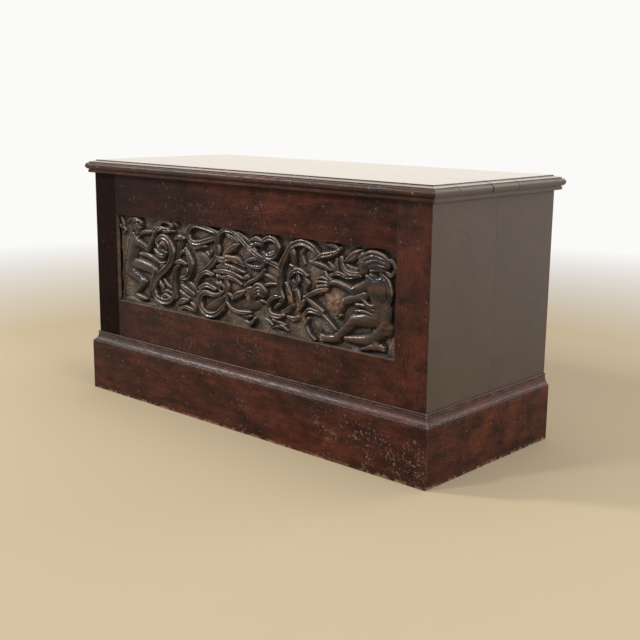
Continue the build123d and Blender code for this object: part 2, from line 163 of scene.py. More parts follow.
def makeFloor():
    bpy.ops.object.select_all(action="DESELECT")
    bpy.ops.mesh.primitive_circle_add(vertices=64, radius=studio["floorSize"], fill_type="NGON")
    floor = bpy.context.object
    floor.name = "studioFloor"
    material, tree, shader = newMaterial("plainFloor")
    shader.inputs["Roughness"].default_value = 0.85
    shader.inputs["Specular IOR Level"].default_value = 0.1
    coords = addNode(tree, "ShaderNodeTexCoord")
    length = addNode(tree, "ShaderNodeVectorMath", operation="LENGTH")
    tree.links.new(coords.outputs["Object"], length.inputs[0])
    length = length.outputs["Value"]
    mix = addNode(tree, "ShaderNodeMix", data_type="RGBA")
    mix.inputs["A"].default_value = (*studio["floorColour"], 1)
    mix.inputs["B"].default_value = (*studio["farColour"], 1)
    tree.links.new(spread(tree, length, studio["farReach"]), mix.inputs["Factor"])
    tree.links.new(mix.outputs["Result"], shader.inputs["Base Color"])
    pale = addNode(tree, "ShaderNodeEmission", Color=(*studio["roomColour"], 1), Strength=1.0)
    fade = times(tree, seenDirectly(tree), spread(tree, length, studio["roomReach"]))
    mixShaders(tree, fade, shader, pale, tree.nodes["Material Output"].inputs["Surface"])
    floor.data.materials.append(material)


def addLamp(name, place, aim, size, power, colour):
    data = bpy.data.lights.new(name, "AREA")
    data.shape = "RECTANGLE"
    data.size, data.size_y = size
    data.energy = power
    data.color = colour
    lamp = bpy.data.objects.new(name, data)
    bpy.context.scene.collection.objects.link(lamp)
    lamp.location = place
    lamp.rotation_euler = (Vector(aim) - Vector(place)).to_track_quat("-Z", "Y").to_euler()


def lightStudio():
    world = bpy.data.worlds.new("softRoom")
    bpy.context.scene.world = world
    world.use_nodes = True
    tree = world.node_tree
    air = tree.nodes["Background"]
    air.inputs["Color"].default_value = (*studio["airColour"], 1)
    air.inputs["Strength"].default_value = studio["airStrength"]
    room = addNode(tree, "ShaderNodeBackground", Color=(*studio["roomColour"], 1), Strength=1.0)
    mixShaders(tree, seenDirectly(tree), air, room, tree.nodes["World Output"].inputs[0])
    for name, values in studio["lamps"].items():
        addLamp(name, *values)


bpy.context.scene.view_settings.view_transform = "Standard"
setCamera()
makeFloor()
lightStudio()
print("camera, floor and light set")

# Finishes
grainTurn = {
    "X": (0, 0, 0),
    "Y": (0, 0, math.radians(90)),
    "Z": (0, math.radians(90), 0),
}

oldFinish = {
    "black": (0.0075, 0.0034, 0.0024),
    "brown": (0.038, 0.0142, 0.0090),
    "red": (0.092, 0.0245, 0.0145),
    "worn": (0.21, 0.115, 0.078),
    "pale": (0.41, 0.35, 0.30),
    "scuffed": (0.36, 0.22, 0.14),
    "patchPlace": 0.0,  # the same on boards whose patches run on into each other
    "patchScale": 5.5,
    "smokeScale": 20,
    "smoke": 0.88,  # how black the smoky patches are
    "bandScale": 60,
    "bands": 0.45,  # how black the grain's bands are
    "poreScale": 420,
    "pores": 0.6,
    "dentScale": 125,
    "dents": 0.26,
    "scratches": 0.25,
    "wear": 0.45,  # how far the arrises are rubbed
    "wearReach": 2.4,
    "footWear": 0.0,
    "footReach": 9,  # how high above the floor the foot is scuffed
    # painted shade: how dark the corners and grooves are made
    "cornerShade": 0.8,
    "cornerShadeReach": 7,
    "shadeLeft": 0.0,  # how far the chest's left end is darkened, a painted shade
    "darkFrom": 0.05,  # where that begins and where it is full
    "darkTo": -0.45,
    "grainRelief": 0.40,
    "grainDepth": 1.2,
    "roughLow": 0.26,
    "roughHigh": 0.50,
    "gloss": 0.12,
    "coat": 0.0,
    "coatRoughness": 0.12,
    "bloom": 0.0,
    "bloomRoughness": 0.35,
    "bloomTint": (1.0, 0.97, 0.93),
}


def ramp(tree, source, *stops):
    node = addNode(tree, "ShaderNodeValToRGB")
    band = node.color_ramp
    for element, (place, shade) in zip(band.elements, stops):
        element.position = place
        element.color = (shade, shade, shade, 1)
    tree.links.new(source, node.inputs["Fac"])
    return node.outputs["Color"]


def blendColour(tree, factor, first, second):
    mix = addNode(tree, "ShaderNodeMix", data_type="RGBA", blend_type="MIX")
    for key, value in (("Factor", factor), ("A", first), ("B", second)):
        socket = [s for s in mix.inputs if s.name == key and s.enabled][0]
        if hasattr(value, "is_linked"):
            tree.links.new(value, socket)
        else:
            socket.default_value = (*value, 1)
    return [s for s in mix.outputs if s.enabled][0]


# lays a colour over the ground where the mask is white
def layOn(tree, ground, mask, strength, colour):
    return blendColour(tree, times(tree, mask, strength), ground, colour)


def mapped(tree, turn=(0, 0, 0), scale=(1, 1, 1), shift=(0, 0, 0)):
    coords = addNode(tree, "ShaderNodeTexCoord")
    mapping = addNode(tree, "ShaderNodeMapping", vector_type="TEXTURE")
    mapping.inputs["Rotation"].default_value = turn
    mapping.inputs["Scale"].default_value = scale
    mapping.inputs["Location"].default_value = shift
    tree.links.new(coords.outputs["Object"], mapping.inputs["Vector"])
    return mapping.outputs["Vector"]


def noise(tree, vector, scale, detail, roughness, distortion=0.0):
    node = addNode(
        tree, "ShaderNodeTexNoise", Scale=scale, Detail=detail, Roughness=roughness, Distortion=distortion
    )
    tree.links.new(vector, node.inputs["Vector"])
    return node.outputs["Fac"]


def addBump(tree, shader, height, strength, depth):
    bump = addNode(tree, "ShaderNodeBump", Strength=strength, Distance=depth * mm)
    tree.links.new(height, bump.inputs["Height"])
    tree.links.new(bump.outputs["Normal"], shader.inputs["Normal"])


# streaked ground, blackened by old smoke
def groundOf(tree, look, even, bands, pores):
    patches = ramp(tree, noise(tree, even, look["patchScale"], 5, 0.6), (0.36, 0.0), (0.64, 1.0))
    ground = blendColour(tree, patches, look["brown"], look["red"])
    dark = ramp(tree, bands, (0.38, 1.0), (0.58, 0.0))
    smoke = ramp(tree, noise(tree, even, look["smokeScale"], 9, 0.72, 0.3), (0.42, 0.0), (0.66, 1.0))
    for mask, strength in ((dark, "bands"), (pores, "pores"), (smoke, "smoke")):
        ground = layOn(tree, ground, mask, look[strength], look["black"])
    return ground


# small dents and knocks, pale partly with old wax and partly as painted glints where they would catch the
# light
def dentsOf(tree, look, raw, shift):
    cells = addNode(tree, "ShaderNodeTexVoronoi", feature="F1", Scale=look["dentScale"], Randomness=1.0)
    tree.links.new(mapped(tree, (0.5, 0.75, 0.3), (4.0, 1.0, 1.0), shift), cells.inputs["Vector"])
    dents = ramp(tree, cells.outputs["Distance"], (0.08, 1.0), (0.20, 0.0))
    return times(tree, dents, ramp(tree, noise(tree, raw, 31, 4, 0.8), (0.50, 0.0), (0.58, 1.0)))


# fine curved scratches in clusters
def scratchesOf(tree, raw):
    wander = addNode(tree, "ShaderNodeTexNoise", Scale=26, Detail=3)
    tree.links.new(raw, wander.inputs["Vector"])
    warped = addNode(tree, "ShaderNodeVectorMath", operation="MULTIPLY_ADD")
    tree.links.new(wander.outputs["Color"], warped.inputs[0])
    warped.inputs[1].default_value = (0.05, 0.05, 0.05)
    tree.links.new(raw, warped.inputs[2])
    web = addNode(tree, "ShaderNodeTexVoronoi", feature="DISTANCE_TO_EDGE", Scale=62)
    tree.links.new(warped.outputs[0], web.inputs["Vector"])
    hair = ramp(tree, web.outputs["Distance"], (0.0, 1.0), (0.05, 0.0))
    bits = ramp(tree, noise(tree, raw, 110, 2, 0.6), (0.51, 0.0), (0.57, 1.0))
    clusters = ramp(tree, noise(tree, raw, 6.5, 4, 0.6), (0.55, 0.0), (0.64, 1.0))
    return times(tree, times(tree, hair, bits), clusters)


def rubbedArrises(tree, look, raw):
    soft = addNode(tree, "ShaderNodeBevel", samples=6, Radius=look["wearReach"] * mm)
    facing = addNode(tree, "ShaderNodeNewGeometry")
    alike = addNode(tree, "ShaderNodeVectorMath", operation="DOT_PRODUCT")
    tree.links.new(soft.outputs["Normal"], alike.inputs[0])
    tree.links.new(facing.outputs["Normal"], alike.inputs[1])
    edges = ramp(tree, number(tree, "SUBTRACT", 1.0, alike.outputs["Value"]), (0.02, 0.0), (0.16, 1.0))
    return times(tree, edges, ramp(tree, noise(tree, raw, 30, 5, 0.7), (0.42, 0.05), (0.60, 1.0)))


# painted shade: ambient occlusion darkens the corners, grooves and recesses towards black
def paintedCornerShade(tree, look):
    shut = addNode(tree, "ShaderNodeAmbientOcclusion", samples=8, Distance=look["cornerShadeReach"] * mm)
    return ramp(tree, shut.outputs["AO"], (0.25, 1.0), (0.80, 0.0))


# the foot is scuffed to bare wood near the floor
def footScuffs(tree, look, raw, height):
    scuffs = ramp(tree, noise(tree, raw, 60, 7, 0.8), (0.48, 0.0), (0.56, 1.0))
    return times(tree, scuffs, spread(tree, height, (look["footReach"] * mm, 0.0)))


def makeWood(name, grain, look, shift=0.0):
    look = {**oldFinish, **look}
    material, tree, shader = newMaterial(name)
    place = (shift, shift * 0.7, shift * 1.3)
    along = mapped(tree, grainTurn[grain], (9.0, 1.0, 1.0), place)
    even = mapped(tree, scale=(1.6, 1.0, 1.0), shift=(look["patchPlace"], 0, 0))
    raw = mapped(tree, shift=place)
    spot = addNode(tree, "ShaderNodeSeparateXYZ")
    tree.links.new(addNode(tree, "ShaderNodeTexCoord").outputs["Object"], spot.inputs[0])
    bands = noise(tree, along, look["bandScale"], 6, 0.6, 0.4)
    pores = ramp(tree, noise(tree, along, look["poreScale"], 3, 0.6), (0.36, 1.0), (0.46, 0.0))
    dents = dentsOf(tree, look, raw, place)
    scratches = scratchesOf(tree, raw)
    leftward = spread(tree, spot.outputs["X"], (look["darkFrom"], look["darkTo"]))
    marks = largest(tree, times(tree, dents, look["dents"]), times(tree, scratches, look["scratches"]))
    ground = groundOf(tree, look, even, bands, pores)
    # of these layers, the darkened left end and the corner darkening are painted shade, and the pale marks
    # are partly painted glints
    for mask, strength, colour in (
        (leftward, look["shadeLeft"], "black"),
        (marks, 1.0, "pale"),
        (rubbedArrises(tree, look, raw), look["wear"], "worn"),
        (paintedCornerShade(tree, look), look["cornerShade"], "black"),
        (footScuffs(tree, look, raw, spot.outputs["Z"]), look["footWear"], "scuffed"),
    ):
        ground = layOn(tree, ground, mask, strength, look[colour])
    tree.links.new(ground, shader.inputs["Base Color"])
    rough = spread(tree, noise(tree, along, 16, 5, 0.65), after=(look["roughLow"], look["roughHigh"]))
    tree.links.new(rough, shader.inputs["Roughness"])
    for socket, value in (
        ("Specular IOR Level", look["gloss"]),
        ("Coat Weight", look["coat"]),
        ("Coat Roughness", look["coatRoughness"]),
        ("Sheen Weight", look["bloom"]),
        ("Sheen Roughness", look["bloomRoughness"]),
        ("Sheen Tint", (*look["bloomTint"], 1)),
    ):
        shader.inputs[socket].default_value = value
    relief = bands
    for mark, depth in ((pores, 0.6), (dents, 2.0), (scratches, 1.0)):
        relief = number(tree, "SUBTRACT", relief, times(tree, mark, depth))
    addBump(tree, shader, relief, look["grainRelief"], look["grainDepth"])
    return material


# The front frame
frameRail = makeWood("walnutRail", "X", {})
# painted shade: the low rail, head rail and left stile darken towards the chest's left end
lowRailFinish = {"shadeLeft": 0.95, "darkFrom": -0.34, "darkTo": -0.53, "wear": 0.3}
lowRail = makeWood("walnutLowRail", "X", lowRailFinish)
headFinish = {"shadeLeft": 0.88, "darkFrom": -0.02, "darkTo": -0.50, "gloss": 0.06, "wear": 0.3}
headRail = makeWood("walnutHeadRail", "X", headFinish, 11.6)
leftFinish = {"shadeLeft": 0.95, "bands": 0.25, "dents": 0.1, "gloss": 0.02, "wear": 0.3}
leftPost = makeWood("walnutLeftPost", "Z", leftFinish, 6.9)
framePost = makeWood("walnutPost", "Z", {"bands": 0.25, "wear": 0.3}, 3.1)
# dust and painted light: the faces inside the opening get a pale finish, lighter than the shade they stand
# in
revealDustAndLightFinish = {
    "black": (0.05, 0.036, 0.026),
    "brown": (0.16, 0.115, 0.080),
    "red": (0.22, 0.16, 0.11),
    "gloss": 0.05,
}
revealDustAndLight = makeWood("revealDustAndLight", "X", revealDustAndLightFinish)

# The sides, with a dull bloom and a painted sheen: their colours are lighter and greyer than the front's,
# as the light falls on them
litSideFinish = {
    "black": (0.034, 0.023, 0.017),
    "brown": (0.050, 0.033, 0.023),
    "red": (0.062, 0.038, 0.026),
    "patchPlace": 5.7,
    "smoke": 0.25,
    "bands": 0.10,
    "pores": 0.2,
    "dents": 0.06,
    "scratches": 0.10,
    "wear": 0.4,
    "grainRelief": 0.16,
    "roughLow": 0.36,
    "roughHigh": 0.52,
    "gloss": 0.40,
    "bloom": 0.22,
    "cornerShadeReach": 10,
}
sideWood = makeWood("walnutSide", "Z", litSideFinish, 5.7)

# The plinth and its cap
footFinish = {
    "patchPlace": 8.3,
    "red": (0.115, 0.0275, 0.0155),
    "brown": (0.050, 0.0165, 0.0100),
    "dentScale": 95,
    "scratches": 0.55,
    "footWear": 0.95,
    "wear": 0.6,
    "wearReach": 3.0,
}
footRail = makeWood("walnutFoot", "X", footFinish, 8.3)
footSide = makeWood("walnutFootSide", "Y", {**footFinish, "scratches": 0.2}, 1.9)
# the cap's arrises are rubbed pale and strong, partly wear and partly painted highlights along the
# fillets' edges
capFinish = {
    "patchPlace": 8.3,
    "worn": (0.42, 0.30, 0.25),
    "smoke": 0.6,
    "wear": 0.95,
    "wearReach": 2.0,
    "roughLow": 0.30,
    "gloss": 0.28,
    "bloom": 0.06,
}
capRail = makeWood("walnutCap", "X", capFinish, 8.3)
capSide = makeWood("walnutCapSide", "Y", capFinish, 1.9)

# The lid: its polished field, long edges, ends and underside; the field, edges and ends are lit and shaded
# copies of one finish, a painted light and shade
lidFinish = {
    "patchPlace": 6.4,
    "brown": (0.060, 0.030, 0.019),
    "red": (0.110, 0.046, 0.027),
    "worn": (0.20, 0.12, 0.075),
    "smoke": 0.45,
    "bands": 0.25,
    "dents": 0.2,
    "wear": 0.25,
    "wearReach": 1.2,
    "grainRelief": 0.20,
    "roughLow": 0.16,
    "roughHigh": 0.30,
    "gloss": 0.5,
    "coat": 0.9,
    "bloom": 0.38,
    "bloomTint": (1.0, 0.78, 0.52),
}
lidEdgeFinish = {"gloss": 0.2, "smoke": 0.8, "wear": 0.7, "scratches": 0.6, "dents": 0.8}
lidEndFinish = {**litSideFinish, "wear": 0.8, "worn": (0.30, 0.24, 0.19)}
lidUnderFinish = {
    "black": (0.030, 0.017, 0.011),
    "brown": (0.080, 0.043, 0.026),
    "red": (0.115, 0.060, 0.036),
    "smoke": 0.4,
    "dents": 0.08,
    "scratches": 0.05,
    "roughLow": 0.45,
    "roughHigh": 0.65,
}
lidWood = makeWood("walnutLid", "X", lidFinish, 6.4)
lidEdge = makeWood("walnutLidEdge", "X", lidEdgeFinish, 6.4)
lidEnd = makeWood("walnutLidEnd", "Y", lidEndFinish, 6.4)
# the lid band's ends take the same painted sheen as the sides
bandSide = makeWood("walnutBandSide", "Y", litSideFinish, 2.6)
lidUnder = makeWood("walnutUnder", "X", lidUnderFinish, 12.4)

# Bare softwood inside and at the back, in three tints
innerFinish = {
    "black": (0.095, 0.058, 0.034),
    "brown": (0.215, 0.138, 0.083),
    "red": (0.265, 0.165, 0.095),
    "worn": (0.42, 0.30, 0.19),
    "pale": (0.40, 0.33, 0.26),
    "smoke": 0.22,
    "smokeScale": 9,
    "bands": 0.65,
    "bandScale": 75,
    "pores": 0.35,
    "dents": 0.12,
    "scratches": 0.08,
    "grainRelief": 0.56,
    "roughLow": 0.62,
    "roughHigh": 0.85,
}
darkTint = {"patchPlace": 3.3, "brown": (0.165, 0.102, 0.060), "red": (0.205, 0.122, 0.070)}
paleTint = {"patchPlace": 7.1, "brown": (0.235, 0.160, 0.100), "red": (0.285, 0.185, 0.112)}
innerWood = makeWood("softwoodAlongX", "X", innerFinish, 4.4)
innerDark = makeWood("softwoodAlongXb", "X", {**innerFinish, **darkTint}, 14.8)
innerPale = makeWood("softwoodAlongXc", "X", {**innerFinish, **paleTint}, 21.6)
innerPost = makeWood("softwoodUpright", "Z", innerFinish, 9.2)
innerCross = makeWood("softwoodAlongY", "Y", innerFinish, 7.7)

carvedFinish = {
    "black": (0.0035, 0.0022, 0.0017),
    "brown": (0.030, 0.0140, 0.0072),
    "red": (0.060, 0.0235, 0.0105),
    "dust": (0.215, 0.165, 0.118),
    "bare": (0.36, 0.19, 0.115),
    "ridgeLight": (0.44, 0.33, 0.24),
    "gloss": 0.40,
    "roughLow": 0.17,
    "roughHigh": 0.85,
    "relief": 0.45,
    "reliefDepth": 0.9,
}


# the carving's colours follow the heights and hollows kept on its points
def makeCarvedWood():
    look = carvedFinish
    material, tree, shader = newMaterial("walnutCarved")
    raw = mapped(tree)
    lift, hollow, ridgeHighlight, bare = [
        addNode(tree, "ShaderNodeAttribute", attribute_name=name).outputs["Fac"]
        for name in ("lift", "hollow", "ridgeHighlight", "bare")
    ]
    patches = ramp(tree, noise(tree, raw, 14, 4, 0.6), (0.42, 0.0), (0.62, 1.0))
    colour = blendColour(tree, patches, look["brown"], look["red"])
    streaks = noise(tree, mapped(tree, scale=(7, 1, 1)), 60, 5, 0.6)
    streaks = ramp(tree, streaks, (0.4, 0.0), (0.6, 1.0))
    colour = blendColour(tree, streaks, look["black"], colour)
    # painted highlight on the ridges, strongest where they face up
    ridge = ramp(tree, ridgeHighlight, (0.20, 0.0), (0.90, 1.0))
    ridgeLit = times(tree, ridge, ramp(tree, noise(tree, raw, 45, 4, 0.7), (0.35, 0.25), (0.6, 1.0)))
    # dust lies in the grounds, in patches and specks
    speckle = ramp(tree, noise(tree, raw, 260, 6, 0.8), (0.40, 0.0), (0.60, 1.0))
    drift = ramp(tree, noise(tree, raw, 19, 4, 0.65), (0.34, 0.15), (0.62, 1.0))
    low = ramp(tree, lift, (0.08, 1.0), (0.40, 0.0))
    dusty = times(tree, times(tree, low, speckle), drift)
    # bare wood where the finish has gone
    chips = times(tree, bare, ramp(tree, noise(tree, raw, 60, 6, 0.75), (0.44, 0.0), (0.56, 1.0)))
    # painted shade: the deep cuts beside the forms are darkened to black
    cutShade = ramp(tree, hollow, (0.06, 0.0), (0.42, 1.0))
    for mask, strength, tint in (
        (ridgeLit, 0.7, "ridgeLight"),
        (dusty, 0.85, "dust"),
        (chips, 0.7, "bare"),
        (cutShade, 0.95, "black"),
    ):
        colour = layOn(tree, colour, mask, strength, look[tint])
    tree.links.new(colour, shader.inputs["Base Color"])
    dull = largest(tree, times(tree, low, 0.8), times(tree, streaks, 0.3), cutShade)
    rough = spread(tree, dull, after=(look["roughLow"], look["roughHigh"]))
    tree.links.new(rough, shader.inputs["Roughness"])
    shader.inputs["Specular IOR Level"].default_value = look["gloss"]
    addBump(tree, shader, noise(tree, raw, 160, 5, 0.65), look["relief"], look["reliefDepth"])
    return material


ironFinish = {
    "dark": (0.045, 0.042, 0.040),
    "rust": (0.085, 0.038, 0.020),
    "metal": 0.85,
    "roughLow": 0.42,
    "roughHigh": 0.78,
    "relief": 0.4,
    "reliefDepth": 0.4,
}


def makeIron():
    look = ironFinish
    material, tree, shader = newMaterial("forgedIron")
    shader.inputs["Metallic"].default_value = look["metal"]
    raw = mapped(tree)
    rust = ramp(tree, noise(tree, raw, 120, 6, 0.7), (0.45, 0.0), (0.65, 1.0))
    tree.links.new(blendColour(tree, rust, look["dark"], look["rust"]), shader.inputs["Base Color"])
    rough = spread(tree, rust, after=(look["roughLow"], look["roughHigh"]))
    tree.links.new(rough, shader.inputs["Roughness"])
    addBump(tree, shader, noise(tree, raw, 300, 5, 0.7), look["relief"], look["reliefDepth"])
    return material


carvedWood = makeCarvedWood()
iron = makeIron()
print("finishes made")

# The carved panel
carving = {
    "recess": 17,  # from the frame's face back to the ground
    "cell": 1.6,  # spacing of the cut surface's points
    "pathStep": 1.5,  # spacing of the points along a path
    "thinnest": 1.5,
    "wallSlope": 3.2,
    "highest": 16.5,
    "melt": 5.0,  # how softly a figure's limbs join
    "headMelt": 3.0,
    "cutIn": 3.4,  # depth of the cut round each form
    "cutWidth": 3.2,
    "trimCutIn": 1.5,  # the same round hair, fingers and folds
    "trimCutWidth": 2.0,
    "groundWaves": 0.8,
    "waveReach": 9,
    "toolMarks": 0.24,
    "markReach": 1.5,
    "deepest": 0.6,  # how far the marks may go into the ground
    "ridgeReach": 1.8,  # how sharp a ridge has to be to catch the painted highlight
    "hollowReach": 5,
    "seed": 11,
    # where the finish has worn off: x, z, size
    "bareSpots": [
        (307, 378, 30), (283, 396, 16), (24, 348, 12), (178, 374, 20), (255, 405, 12), (-30, 428, 14),
        (30, 470, 10), (-58, 300, 10), (130, 425, 9), (196, 352, 14), (-12, 455, 12),
    ],
}

